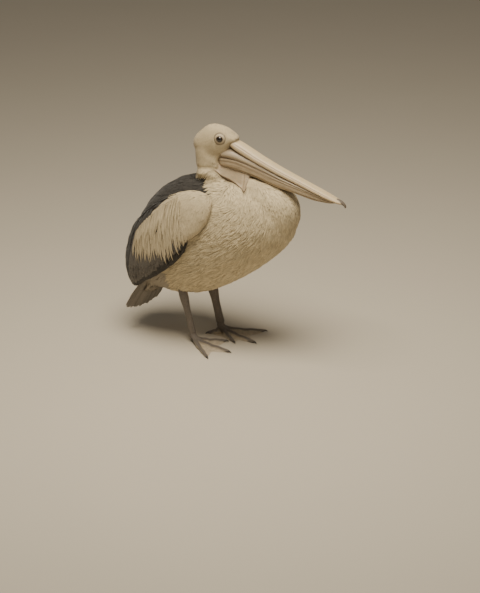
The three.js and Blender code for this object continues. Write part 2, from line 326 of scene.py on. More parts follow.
@dataclass(frozen=True)
class Loft:
    """A closed body of oval rings square to a spine.

    Attributes:
        spine: Points that its middle passes through.
        stations: Rows of distance along the spine, half width, rise above it and drop below it.
        across: The direction of the width.
        ends: The lengths over which its two ends are rounded.
        square: 2 for an ellipse, more for a fuller ring.
    """

    spine: Table
    stations: Table
    across: Point = (0, 1, 0)
    ends: tuple[float, float] = (20, 20)
    square: float = 2.0

    def shell(self, sides: int, rings: int, relief: Callable[[Array, Array], Array] | None = None) -> Shell:
        """Returns its surface, with a map and the marks along and turn.

        Args:
            sides: Points round a ring.
            rings: Steps along the spine.
            relief: From the distance along and the angle round (0 on the bird's left, 90 degrees on
                top) to how far the surface stands out, in mm.
        """
        spine = Spine(self.spine)
        even = np.linspace(0, 1, rings + 1)
        d = even * spine.length * 0.5 + (1 - np.cos(np.pi * even)) / 2 * spine.length * 0.5
        angle = np.linspace(0, 2 * np.pi, sides, endpoint=False)
        c, s = np.cos(angle), np.sin(angle)
        oval = lambda v: np.sign(v) * np.abs(v) ** (2 / self.square)
        arc = lambda share: np.sqrt(np.maximum(0, 1 - (1 - np.minimum(1, share)) ** 2))
        full = arc(d / self.ends[0]) * arc((spine.length - d) / self.ends[1])
        width, rise, drop = (profile(self.stations, k, d) for k in (1, 2, 3))
        way = spine.way(d)
        up = unit(np.cross(way, np.asarray(self.across, float)))
        side = np.cross(up, way)
        height = np.where(s[None] > 0, rise[:, None], drop[:, None])
        across = (full * width)[:, None, None] * oval(c)[None, :, None] * side[:, None]
        tall = (full[:, None] * height * oval(s)[None])[..., None] * up[:, None]
        grid = spine.at(d)[:, None] + across + tall
        if relief:
            out = (c[None] / width[:, None])[..., None] * side[:, None]
            out = unit(out + (s[None] / height)[..., None] * up[:, None])
            grid += (relief(d[:, None], angle[None]) * full[:, None])[..., None] * out
        points = np.vstack([grid[0, :1], grid[1:-1].reshape(-1, 3), grid[-1, :1]])
        tris, corners = [], []
        ring = lambda i, j: 1 + (i - 1) * sides + j % sides
        last = len(points) - 1
        v = d / spine.length
        for j in range(sides):
            u0, u1 = j / sides, (j + 1) / sides
            tris.append((0, ring(1, j + 1), ring(1, j)))
            corners.append(((u0, v[0]), (u1, v[1]), (u0, v[1])))
            tris.append((last, ring(rings - 1, j), ring(rings - 1, j + 1)))
            corners.append(((u0, v[-1]), (u0, v[-2]), (u1, v[-2])))
            for i in range(1, rings - 1):
                a, b, e, f = ring(i, j), ring(i, j + 1), ring(i + 1, j + 1), ring(i + 1, j)
                tris += [(a, b, e), (a, e, f)]
                corners += [
                    ((u0, v[i]), (u1, v[i]), (u1, v[i + 1])),
                    ((u0, v[i]), (u1, v[i + 1]), (u0, v[i + 1])),
                ]
        along = np.concatenate([[0], np.repeat(v[1:-1], sides), [1]])
        turn = np.concatenate([[0.25], np.tile(angle / (2 * np.pi), rings - 1), [0.25]])
        return Shell(points, np.array(tris), np.array(corners), {"along": along, "turn": turn})


def read_mesh(mesh: Mesh) -> tuple[Array, Array]:
    """Returns a mesh's points, in the bird's millimetres, and its triangles."""
    co = np.empty(len(mesh.vertices) * 3, np.float32)
    mesh.vertices.foreach_get("co", co)
    mesh.calc_loop_triangles()
    tris = np.empty(len(mesh.loop_triangles) * 3, np.int32)
    mesh.loop_triangles.foreach_get("vertices", tris)
    return Place.back(co.reshape(-1, 3)), tris.reshape(-1, 3)


def node_shell(name: str, swell: float = 0.5) -> Shell:
    """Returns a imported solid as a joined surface.

    Args:
        name: The solid's name.
        swell: How far it is swollen, in mm, so that neighbours meet.
    """
    points, tris = read_mesh(frame["nodes"][name].data)
    points, number = np.unique(np.round(points, 2), axis=0, return_inverse=True)
    tris = number.reshape(-1)[tris]
    whole = (tris[:, 0] != tris[:, 1]) & (tris[:, 1] != tris[:, 2]) & (tris[:, 0] != tris[:, 2])
    shell = Shell(points, tris[whole])
    shell.points = shell.points + swell * shell.normals()
    return shell


def sharpen(mesh: Mesh, rim: Array) -> None:
    """Creases a thin mesh between the points of its rim, so that its faces shade flat up to the edge."""
    pairs = np.empty(len(mesh.edges) * 2, np.int32)
    mesh.edges.foreach_get("vertices", pairs)
    a, b = pairs.reshape(-1, 2).T
    sharp = rim[a] & rim[b] & (np.abs(a - b) >= 3)
    mesh.attributes.new("sharp_edge", "BOOLEAN", "EDGE").data.foreach_set("value", sharp)


def plain_mesh(thing: Thing) -> Mesh:
    """Returns what an object's modifiers make, as a plain mesh, and takes the modifiers off."""
    graph = bpy.context.evaluated_depsgraph_get()
    graph.update()
    mesh = bpy.data.meshes.new_from_object(thing.evaluated_get(graph), preserve_all_data_layers=True,
        depsgraph=graph)
    thing.modifiers.clear()
    return mesh


def fused(shells: Iterable[Shell], voxel: float) -> Shell:
    """Returns one closed surface round overlapping ones, with faces of the voxel's size in mm."""
    thing = Shell.join(shells).object("fusing")
    remesh = thing.modifiers.new("remesh", "REMESH")
    remesh.mode, remesh.voxel_size = "VOXEL", voxel * MM
    mesh = plain_mesh(thing)
    points, tris = read_mesh(mesh)
    bpy.data.objects.remove(thing)
    bpy.data.meshes.remove(mesh)
    return Shell(points, tris)


# -------- node trees


class Sketch:
    """Adds nodes to a tree and wires them by the names of their sockets."""

    def __init__(self, tree: Tree) -> None:
        """Starts to draw in a tree."""
        self.tree = tree

    @staticmethod
    def socket(sockets: Iterable[Socket], name: str | int) -> Socket:
        """Returns the socket in use that has this name or place."""
        if isinstance(name, int):
            return [s for s in sockets if s.enabled][name]
        return next(s for s in sockets if s.enabled and s.name == name)

    def add(self, kind: str, feeds: dict | None = None, **settings: object) -> Node:
        """Returns a new node.

        Args:
            kind: Its type.
            feeds: For each input, a value, or the output socket that feeds it.
            settings: Its own properties.
        """
        node = self.tree.nodes.new(kind)
        for key, value in settings.items():
            setattr(node, key, value)
        for name, value in (feeds or {}).items():
            target = self.socket(node.inputs, name)
            if isinstance(value, Socket):
                self.tree.links.new(value, target)
            else:
                target.default_value = value
        return node

    def out(self, kind: str, feeds: dict | None = None, take: str | int = 0, **settings: object) -> Socket:
        """Returns the output called take of a new node; the other arguments are those of add."""
        return self.socket(self.add(kind, feeds, **settings).outputs, take)

    def math(self, operation: str, a: object, b: object = 0.0, c: object = 0.0) -> Socket:
        """Returns the result of a sum on numbers."""
        feeds = {0: a} if operation in ("SINE", "ABSOLUTE") else {0: a, 1: b}
        if operation == "MULTIPLY_ADD":
            feeds[2] = c
        return self.out("ShaderNodeMath", feeds, operation=operation)

    def times(self, a: object, b: object) -> Socket:
        """Returns the product of two numbers."""
        return self.math("MULTIPLY", a, b)

    def vector(self, operation: str, a: object, b: object = None) -> Socket:
        """Returns the result of a sum on vectors; b is a number when the vector is scaled."""
        feeds = {0: a} if b is None else {0: a, "Scale" if operation == "SCALE" else 1: b}
        return self.out("ShaderNodeVectorMath", feeds, operation=operation)

    def attribute(self, name: str) -> Socket:
        """Returns a mark of the mesh, in a material."""
        return self.out("ShaderNodeAttribute", take="Fac", attribute_name=name)

    def mix(self, share: object, a: object, b: object, blend: str = "MIX") -> Socket:
        """Returns a mix of two colours."""
        rgba = lambda v: (*v, 1.0) if isinstance(v, tuple) and len(v) == 3 else v
        feeds = {"Factor": share, "A": rgba(a), "B": rgba(b)}
        return self.out("ShaderNodeMix", feeds, take="Result", data_type="RGBA", blend_type=blend)

    def scale(self, value: object, low: float, high: object, to_low: float = 0.0,
            to_high: float = 1.0) -> Socket:
        """Returns a value turned from one range into another, and held inside it."""
        feeds = {"Value": value, "From Min": low, "From Max": high, "To Min": to_low, "To Max": to_high}
        return self.out("ShaderNodeMapRange", feeds, take="Result")

    def noise(self, place: Socket, scale: float, detail: float = 3.0, roughness: float = 0.55) -> Socket:
        """Returns a grain between 0 and 1."""
        feeds = {"Vector": place, "Scale": scale, "Detail": detail, "Roughness": roughness}
        return self.out("ShaderNodeTexNoise", feeds)

    def stretched(self, place: Socket, sizes: Point) -> Socket:
        """Returns a place with each axis scaled."""
        return self.out("ShaderNodeMapping", {"Vector": place, "Scale": sizes}, take="Vector")


class Effects:
    """Shader effects that several finishes share, each a node group that is built once."""

    _made: dict[str, Tree] = {}

    @classmethod
    def _group(cls, name: str, inputs: dict, outputs: Sequence[str], draw: Callable) -> Tree:
        """Returns the named group.

        Args:
            name: Its name.
            inputs: The plain value of each input, or None for a place.
            outputs: The names of its outputs.
            draw: From a sketch and the input sockets to the sockets that feed the outputs.
        """
        if name not in cls._made:
            tree = cls._made[name] = bpy.data.node_groups.new(name, "ShaderNodeTree")
            for key, value in inputs.items():
                kind = "NodeSocketVector" if value is None else "NodeSocketFloat"
                made = tree.interface.new_socket(key, in_out="INPUT", socket_type=kind)
                if value is not None:
                    made.default_value = value
            for key in outputs:
                tree.interface.new_socket(key, in_out="OUTPUT", socket_type="NodeSocketFloat")
            sketch = Sketch(tree)
            drawn = draw(sketch, sketch.add("NodeGroupInput").outputs)
            sketch.add("NodeGroupOutput", dict(zip(outputs, drawn)))
        return cls._made[name]

    @classmethod
    def barbs(cls) -> Tree:
        """Returns the fine slanting barbs of a vane, the quill down its middle and its partings."""

        def draw(s: Sketch, given: Sequence[Socket]) -> tuple:
            """Returns the height, the quill and the partings."""
            split = s.add("ShaderNodeSeparateXYZ", {0: given["Vane"]}).outputs
            half = s.math("ABSOLUTE", s.math("SUBTRACT", split["X"], 0.5))
            slanted = s.times(half, s.times(given["Slant"], -1.0))
            turns = s.math("MULTIPLY_ADD", split["Y"], given["Count"], slanted)
            wave = s.math("SINE", s.times(turns, 2 * math.pi))
            ragged = s.noise(s.stretched(given["Vane"], (3, 9, 1)), 1.0, 4.0)
            quill = s.scale(half, 0.03, 0.09, 1.0, 0.0)
            rough = s.math("ADD", s.times(quill, 0.8), s.times(ragged, 1.2))
            return s.math("MULTIPLY_ADD", wave, 0.25, rough), quill, s.scale(ragged, 0.52, 0.66)

        inputs = {"Vane": None, "Count": 40.0, "Slant": 22.0}
        return cls._group("barbs", inputs, ("Height", "Quill", "Parting"), draw)

    @classmethod
    def cells(cls) -> Tree:
        """Returns the small raised cells of scaly or leathery skin and the seams between them."""

        def draw(s: Sketch, given: Sequence[Socket]) -> tuple:
            """Returns the height and the seams."""
            warp = s.out("ShaderNodeTexNoise", {"Vector": given["Place"], "Scale": 60.0}, take="Color")
            place = s.vector("ADD", given["Place"], s.vector("SCALE", warp, 0.003))
            feeds = {"Vector": place, "Scale": given["Scale"]}
            edge = s.out("ShaderNodeTexVoronoi", feeds, take="Distance", feature="DISTANCE_TO_EDGE")
            seams = s.scale(edge, 0.0, given["Seam"], 1.0, 0.0)
            return s.math("SUBTRACT", 1.0, seams), seams

        return cls._group("cells", {"Place": None, "Scale": 300.0, "Seam": 0.12}, ("Height", "Seams"), draw)


@dataclass(frozen=True)
class Finish:
    """A surface's look, under a material's name; each kind paints itself in its own way."""

    name: str
    color: Color
    roughness: float

    def material(self) -> Material:
        """Returns the finish as a material."""
        made = bpy.data.materials.get(self.name)
        if made:
            return made
        made = bpy.data.materials.new(self.name)
        made.use_nodes = True
        made.node_tree.nodes.clear()
        sketch = Sketch(made.node_tree)
        shader = sketch.add("ShaderNodeBsdfPrincipled", {"Roughness": self.roughness})
        sketch.add("ShaderNodeOutputMaterial", {"Surface": shader.outputs["BSDF"]})
        color, height, depth = self.paint(sketch, shader)
        made.node_tree.links.new(color, shader.inputs["Base Color"])
        if height is not None:
            relief = sketch.out("ShaderNodeBump", {"Height": height, "Strength": 0.6, "Distance": depth})
            made.node_tree.links.new(relief, shader.inputs["Normal"])
        made.diffuse_color = (*self.color, 1)
        return made

    def paint(self, s: Sketch, shader: Node) -> tuple:
        """Returns the colour, the height or None, and the depth of the relief in metres.

        Args:
            s: Where to add nodes.
            shader: The material's shader, for numbers that are the same all over.
        """
        raise NotImplementedError

    def tint(self, share: float) -> Color:
        """Returns the main colour made lighter or darker."""
        return tuple(share * v for v in self.color)

    def vary_roughness(self, s: Sketch, shader: Node, grain: Socket, less: float, more: float) -> None:
        """Makes the surface less or more matt where the grain is low or high."""
        rough = s.scale(grain, 0.3, 0.7, self.roughness - less, self.roughness + more)
        s.tree.links.new(rough, shader.inputs["Roughness"])

    @staticmethod
    def set(shader: Node, **numbers: object) -> None:
        """Sets the shader's own sockets, named with _ for each space."""
        for name, value in numbers.items():
            shader.inputs[name.replace("_", " ")].default_value = value

    @staticmethod
    def object_place(s: Sketch) -> Socket:
        """Returns the place in the object's own space."""
        return s.out("ShaderNodeTexCoord", take="Object")

    @staticmethod
    def skin_cells(s: Sketch, place: Socket, count: float, seam: float) -> Sequence[Socket]:
        """Returns the outputs of the cells effect, with so many cells to a metre."""
        feeds = {"Place": place, "Scale": count, "Seam": seam}
        return s.add("ShaderNodeGroup", feeds, node_tree=Effects.cells()).outputs

    @staticmethod
    def streaks(s: Sketch, sizes: Point, detail: float, roughness: float = 0.55) -> Socket:
        """Returns a grain drawn out along the object's own map."""
        return s.noise(s.stretched(s.out("ShaderNodeUVMap", uv_map="span"), sizes), 1.0, detail, roughness)


@dataclass(frozen=True)
class Feather(Finish):
    """Vanes: barbs, a quill, painted shade at the root and between the strands, and a little difference
    from one to the next.

    Attributes:
        root: The colour at the root, where it lies under other feathers; darker on most, as painted shade,
            and shown in the partings too.
        edge: The colour of the rim and tip; darker on the white feathers, where it paints the shade between
            the strands.
        rim: How much they take it.
        barbs: Barbs along a vane.
        spread: How much one feather's tone differs from the next.
    """

    root: Color
    edge: Color
    rim: float
    barbs: float
    spread: float = 0.14

    def paint(self, s: Sketch, shader: Node) -> tuple:
        """Returns the colour, height and depth of the vanes."""
        vane = s.out("ShaderNodeUVMap", uv_map="vane")
        feeds = {"Vane": vane, "Count": self.barbs, "Slant": self.barbs * 0.5}
        barbs = s.add("ShaderNodeGroup", feeds, node_tree=Effects.barbs()).outputs
        split = s.add("ShaderNodeSeparateXYZ", {0: vane})
        half = s.math("ABSOLUTE", s.math("SUBTRACT", split.outputs["X"], 0.5))
        stain = s.noise(self.object_place(s), 24.0, 3.0)
        # painted shade: on all but the tail the root colour darkens the covered root and the partings; on
        # white feathers the darker rim shades the gaps between strands
        body = s.mix(s.scale(s.attribute("along"), 0.0, 0.55), self.root, self.color)
        body = s.mix(s.times(s.scale(half, 0.22, 0.48), self.rim), body, self.edge)
        body = s.mix(s.times(barbs["Parting"], 0.35), body, self.root)
        body = s.mix(s.times(barbs["Quill"], 0.25), body, self.edge)
        shade = s.math("MULTIPLY_ADD", s.attribute("tone"), self.spread, 1.0 - self.spread * 0.75)
        shade = s.times(shade, s.scale(stain, 0.3, 0.7, 0.94, 1.05))
        grey = s.out("ShaderNodeCombineColor", {0: shade, 1: shade, 2: shade})
        self.set(shader, Sheen_Weight=0.15, Sheen_Roughness=0.5, Specular_IOR_Level=0.25)
        return s.mix(1.0, body, grey, "MULTIPLY"), barbs["Height"], 0.0004


@dataclass(frozen=True)
class Down(Finish):
    """The plain skin and down under the coat."""

    def paint(self, s: Sketch, shader: Node) -> tuple:
        """Returns a soft mottled colour with a fine grain."""
        grain = s.noise(self.object_place(s), 420.0, 4.0)
        self.set(shader, Specular_IOR_Level=0.2)
        return s.mix(grain, self.tint(0.72), self.color), grain, 0.0008


@dataclass(frozen=True)
class Horn(Finish):
    """The bill's horn: fine streaks, growth lines, painted shade in its grooves and creases, and another
    colour at the tip.
    """

    tip: Color
    # dark: the colour of the real streaks and of the painted shade in grooves
    dark: Color = (0.2, 0.13, 0.08)

    def paint(self, s: Sketch, shader: Node) -> tuple:
        """Returns the colour, height and depth of the horn."""
        streaks, flakes = self.streaks(s, (70, 5, 1), 5.0, 0.6), self.streaks(s, (30, 60, 1), 3.0)
        blotch = s.noise(self.object_place(s), 45.0, 3.0)
        body = s.mix(s.scale(s.attribute("along"), 0.45, 1.0), self.color, self.tip)
        body = s.mix(s.scale(blotch, 0.4, 0.7, 0.0, 0.5), body, self.tint(1.14))
        body = s.mix(s.scale(streaks, 0.5, 0.75, 0.0, 0.4), body, self.dark)
        # painted shade: the groove mark darkens creases and the bill's shaded sides
        body = s.mix(s.attribute("groove"), body, self.dark)
        self.vary_roughness(s, shader, flakes, 0.08, 0.12)
        self.set(shader, Subsurface_Weight=0.06, Subsurface_Radius=(0.004, 0.002, 0.001))
        return body, s.math("ADD", streaks, s.times(flakes, 0.4)), 0.0004


@dataclass(frozen=True)
class Pouch(Finish):
    """Bare elastic skin with fine lengthwise wrinkles, with painted shade in its folds, wrinkles and seams.
    """

    # the fold colour is the painted shade in folds, wrinkles and seams
    fold: Color

    def paint(self, s: Sketch, shader: Node) -> tuple:
        """Returns the colour, height and depth of the skin."""
        lines, fine = self.streaks(s, (90, 7, 1), 5.0, 0.62), self.streaks(s, (260, 40, 1), 3.0)
        mottle = s.noise(self.object_place(s), 60.0, 4.0)
        body = s.mix(s.scale(mottle, 0.35, 0.7), self.color, self.tint(1.18))
        # painted shade: the wrinkles and the groove mark take the fold colour
        body = s.mix(s.scale(lines, 0.48, 0.72, 0.0, 0.55), body, self.fold)
        body = s.mix(s.attribute("groove"), body, self.fold)
        self.set(shader, Subsurface_Weight=0.12, Subsurface_Radius=(0.006, 0.003, 0.002))
        return body, s.math("ADD", lines, s.times(fine, 0.35)), 0.0007


@dataclass(frozen=True)
class Leather(Finish):
    """Scaly skin of the legs, with so many cells to a metre, and of the paler webs, whose colour is partly
    their own and partly painted light against the body's shadow.
    """

    web: Color
    seam: Color
    cells: float = 420.0

    def paint(self, s: Sketch, shader: Node) -> tuple:
        """Returns the colour, height and depth of the scales."""
        place = self.object_place(s)
        large = self.skin_cells(s, place, self.cells, 0.14)
        small = self.skin_cells(s, place, self.cells * 2.4, 0.2)
        mottle, web = s.noise(place, 90.0, 4.0), s.attribute("web")
        body = s.mix(s.scale(mottle, 0.35, 0.7, 0.0, 0.6), self.color, self.tint(1.35))
        sheet = s.mix(s.scale(mottle, 0.3, 0.7), self.web, tuple(0.72 * v for v in self.web))
        seams = (s.times(large["Seams"], 0.75), s.times(small["Seams"], 0.3))
        share = s.times(s.math("MAXIMUM", *seams), s.scale(web, 0.0, 1.0, 0.8, 0.22))
        self.vary_roughness(s, shader, mottle, 0.1, 0.1)
        height = s.math("ADD", large["Height"], s.times(small["Height"], 0.3))
        return s.mix(share, s.mix(web, body, sheet), self.seam), height, 0.0006


@dataclass(frozen=True)
class LidSkin(Finish):
    """The bare ring round the eye, with a dark rim at the eye and a dark outline at the feathers."""

    rim: Color = (0.1, 0.07, 0.05)

    def paint(self, s: Sketch, shader: Node) -> tuple:
        """Returns the colour, height and depth of the ring."""
        across, place = s.attribute("lid"), self.object_place(s)
        cells = self.skin_cells(s, place, 900.0, 0.25)
        body = s.mix(s.scale(s.noise(place, 220.0, 3.0), 0.35, 0.7), self.color, self.tint(0.82))
        body = s.mix(s.times(cells["Seams"], 0.25), body, self.rim)
        body = s.mix(s.scale(across, 0.1, 0.22, 0.9, 0.0), body, self.rim)
        body = s.mix(s.scale(across, 0.66, 0.84, 0.0, 0.8), body, self.rim)
        return body, cells["Height"], 0.0003


@dataclass(frozen=True)
class EyeGlass(Finish):
    """The eyeball: pupil, streaked iris and a dark border, under a clear coat."""

    pupil: Color = (0.004, 0.003, 0.003)
    border: Color = (0.02, 0.012, 0.008)

    def paint(self, s: Sketch, shader: Node) -> tuple:
        """Returns the colour of the eyeball."""
        radial = s.attribute("radial")
        iris = s.mix(s.scale(self.streaks(s, (60, 4, 1), 4.0), 0.35, 0.7), self.color, self.tint(0.45))
        body = s.mix(s.scale(radial, 0.34, 0.38), self.pupil, iris)
        self.set(shader, Coat_Weight=1.0, Coat_Roughness=0.02, IOR=1.38)
        return s.mix(s.scale(radial, 0.62, 0.74), body, self.border), None, 0.0


@dataclass(frozen=True)
class Claw(Finish):
    """A dark claw, paler at its root."""

    def paint(self, s: Sketch, shader: Node) -> tuple:
        """Returns the colour, height and depth of the claw."""
        streaks = self.streaks(s, (24, 3, 1), 4.0)
        body = s.mix(s.scale(s.attribute("along"), 0.0, 0.5), self.tint(1.9), self.color)
        return s.mix(s.scale(streaks, 0.4, 0.7, 0.0, 0.5), body, self.tint(0.4)), streaks, 0.0002


@dataclass(frozen=True)
class Ground(Finish):
    """The plain pale floor."""

    def paint(self, s: Sketch, shader: Node) -> tuple:
        """Returns a flat colour with a faint unevenness."""
        return s.mix(s.noise(self.object_place(s), 3.0, 2.0), self.color, self.tint(0.97)), None, 0.0


class Finishes(Enum):
    """Every finish on the bird."""

    # the white feathers' darker root and edge colours are painted shade under and between the feathers
    WHITE_VANE = Feather("white_feathers", (0.71, 0.59, 0.375), 0.75, root=(0.44, 0.35, 0.215),
        edge=(0.39, 0.31, 0.195), rim=0.55, barbs=16.0, spread=0.27)
    WHITE_DOWN = Feather("white_down_feathers", (0.58, 0.475, 0.3), 0.8, root=(0.45, 0.36, 0.225),
        edge=(0.41, 0.33, 0.205), rim=0.4, barbs=7.0, spread=0.1)
    WHITE_COVERT = Feather("white_coverts", (0.62, 0.51, 0.325), 0.7, root=(0.45, 0.36, 0.225),
        edge=(0.39, 0.315, 0.195), rim=0.5, barbs=24.0, spread=0.12)
    WHITE_PLUME = Feather("white_plumes", (0.67, 0.555, 0.355), 0.7, root=(0.4, 0.32, 0.2),
        edge=(0.38, 0.305, 0.19), rim=0.5, barbs=46.0, spread=0.16)
    # painted shade with some dirt: the white undertail coat is given a grey-brown colour
    VENT_VANE = Feather("vent_feathers", (0.4, 0.345, 0.265), 0.8, root=(0.27, 0.23, 0.175),
        edge=(0.27, 0.23, 0.175), rim=0.5, barbs=16.0)
    BLACK_VANE = Feather("black_feathers", (0.042, 0.037, 0.032), 0.66, root=(0.022, 0.019, 0.016),
        edge=(0.06, 0.053, 0.044), rim=0.25, spread=0.3, barbs=30.0)
    FLIGHT = Feather("flight_feathers", (0.122, 0.108, 0.092), 0.6, root=(0.06, 0.052, 0.043),
        edge=(0.19, 0.166, 0.137), rim=0.3, spread=0.35, barbs=90.0)
    TAIL = Feather("tail_feathers", (0.27, 0.238, 0.198), 0.62, root=(0.44, 0.38, 0.3),
        edge=(0.36, 0.31, 0.247), rim=0.3, spread=0.42, barbs=70.0)
    WHITE_SKIN = Down("white_down", (0.51, 0.42, 0.265), 0.85)
    # painted shadow: dark skin under the vent's coat
    VENT_SKIN = Down("vent_down", (0.27, 0.23, 0.175), 0.85)
    BLACK_SKIN = Down("black_down", (0.035, 0.031, 0.028), 0.8)
    LID = LidSkin("eye_ring", (0.51, 0.415, 0.27), 0.55)
    POUCH = Pouch("pouch_leather", (0.43, 0.335, 0.215), 0.5, fold=(0.17, 0.115, 0.07))
    # painted light: the webs' pale colour is partly their own, lifted further to offset the body's shadow
    # on the feet
    LEG = Leather("leg_leather", (0.195, 0.165, 0.137), 0.55, web=(0.58, 0.485, 0.35),
        seam=(0.045, 0.036, 0.028))
    UPPER_BILL = Horn("upper_bill", (0.59, 0.47, 0.29), 0.42, tip=(0.66, 0.51, 0.3))
    LOWER_BILL = Horn("lower_bill", (0.4, 0.32, 0.215), 0.42, dark=(0.13, 0.09, 0.06),
        tip=(0.48, 0.39, 0.26))
    NAIL = Horn("bill_nail", (0.15, 0.122, 0.095), 0.4, dark=(0.06, 0.048, 0.038), tip=(0.17, 0.13, 0.09))
    EYE = EyeGlass("eyeball", (0.022, 0.013, 0.008), 0.14)
    CLAW = Claw("claw_horn", (0.05, 0.043, 0.038), 0.38)
    FLOOR = Ground("floor", (0.58, 0.52, 0.42), 0.8)

    def material(self) -> Material:
        """Returns this finish's material."""
        return self.value.material()


# -------- bill and pouch


@dataclass(frozen=True)
class Bill:
    """The upper bill with its hooked nail, and the lower bill.

    Attributes:
        groove_turn: Where the long groove runs on the side of the upper bill, in degrees above level.
        groove_depth: How deep it is, in mm.
    """

    groove_turn: float = 34.0
    groove_depth: float = 1.1
    upper: Loft = Loft(((58, 0, 643), (82, 0, 630.5), (149, 0, 600.5), (215, 0, 574.5), (280, 0, 552),
            (345, 0, 529.5), (403, 0, 510), (420, 0, 505)),
        ((0, 22, 13, 14), (28, 24, 15, 15), (100, 24, 13.5, 13), (171, 22, 11.5, 11), (240, 20, 10, 9.5),
            (309, 19.5, 8.5, 7.5), (350, 17, 7, 6.5), (370, 13, 6, 6), (390, 8, 5, 4.5)), ends=(8, 16))
    nail: Loft = Loft(((394, 0, 516), (410, 0, 510.5), (421, 0, 504), (426, 0, 498), (425.5, 0, 492)),
        ((0, 6, 4, 5), (17, 7.5, 4.5, 5.5), (28, 6, 4, 4.5), (37, 4, 3, 3), (44, 2.2, 1.8, 1.8)),
        ends=(7, 4))
    lower: Loft = Loft(((17, 0, 604), (60, 0, 607), (93, 0, 600), (159, 0, 579), (224, 0, 557),
            (289, 0, 538), (354, 0, 519.5), (410, 0, 505)),
        ((0, 23, 12, 10), (18, 26, 16, 14), (43, 28.5, 20, 17), (78, 26.5, 18, 14), (148, 23, 14, 10),
            (216, 21, 9, 6), (284, 19, 8, 5), (352, 16, 6, 4), (408, 9, 3, 3)), ends=(22, 12))

    def upper_shell(self) -> Shell:
        """Returns the upper bill: a flat-topped ridge, a groove down each side, and a cutting edge."""
        length, groove = Spine(self.upper.spine).length, self.groove_turn

        def relief(d: Array, angle: Array) -> Array:
            """Returns how far the ridges stand out and the groove lies in."""
            fade, high = ramp(d, 6, 26) * (1 - ramp(d, length - 60, length - 18)), level(angle)
            ridges = 0.7 * bump(high, -14, 9) + 0.45 * bump(high, 62, 14) - 0.35 * bump(high, 90, 16)
            return fade * (ridges - self.groove_depth * bump(high, groove, 5.5))

        shell = self.upper.shell(96, 190, relief)
        high, d = level(shell.marks["turn"] * 2 * np.pi), shell.marks["along"] * length
        fade = ramp(d, 2, 16) * (1 - ramp(d, length - 50, length - 14))
        # painted shade: darker along the groove, under the cutting edge and on the side below the groove;
        # the root is darker too
        line = fade * 0.95 * bump(high, groove, 4.2)
        mouth = 0.8 * (1 - ramp(high, -26, -17))
        root = 0.3 * (1 - ramp(d, 12, 24))
        under = 0.2 * fade * (1 - ramp(high, groove - 3, groove + 2))
        shell.marks["groove"] = np.clip(np.max((line, mouth, root, under), axis=0), 0, 1)
        return shell

    def lower_shell(self) -> Shell:
        """Returns the lower bill: two smooth arms with a faint line along them."""
        length = Spine(self.lower.spine).length

        def relief(d: Array, angle: Array) -> Array:
            """Returns how far the arm's edge stands out and its line lies in."""
            fade, high = ramp(d, 10, 40) * (1 - ramp(d, length - 60, length - 15)), level(angle)
            return fade * (0.5 * bump(high, 8, 14) - 0.7 * bump(high, -32, 6))

        shell = self.lower.shell(84, 170, relief)
        high, d = level(shell.marks["turn"] * 2 * np.pi), shell.marks["along"] * length
        # painted shade: darker on the underside, in the crease along the arm and on top under the upper
        # bill
        below, above = 0.9 * (1 - ramp(high, -44, -22)), 0.6 * ramp(high, 34, 48) * ramp(d, 20, 60)
        shell.marks["groove"] = np.clip(below + bump(high, -38, 6) * ramp(d, 4, 20) + above, 0, 1)
        return shell

    def nail_shell(self) -> Shell:
        """Returns the hooked nail."""
        shell = self.nail.shell(28, 34)
        shell.marks["groove"] = np.clip(1.1 * (1 - ramp(shell.marks["along"], 0, 0.12)), 0, 0.8)
        return shell

    def build(self) -> None:
        """Makes the pieces of the bill."""
        for name, shell, finish, node, slot in (
            ("bill_upper_horn", self.upper_shell(), Finishes.UPPER_BILL, "bill_upper", "horn"),
            ("bill_hook", self.nail_shell(), Finishes.NAIL, "bill_nail", "nail"),
            ("bill_lower_horn", self.lower_shell(), Finishes.LOWER_BILL, "bill_lower", "pouch_skin"),
        ):
            attach(shell.object(name, [finish.material()]), slot, node)


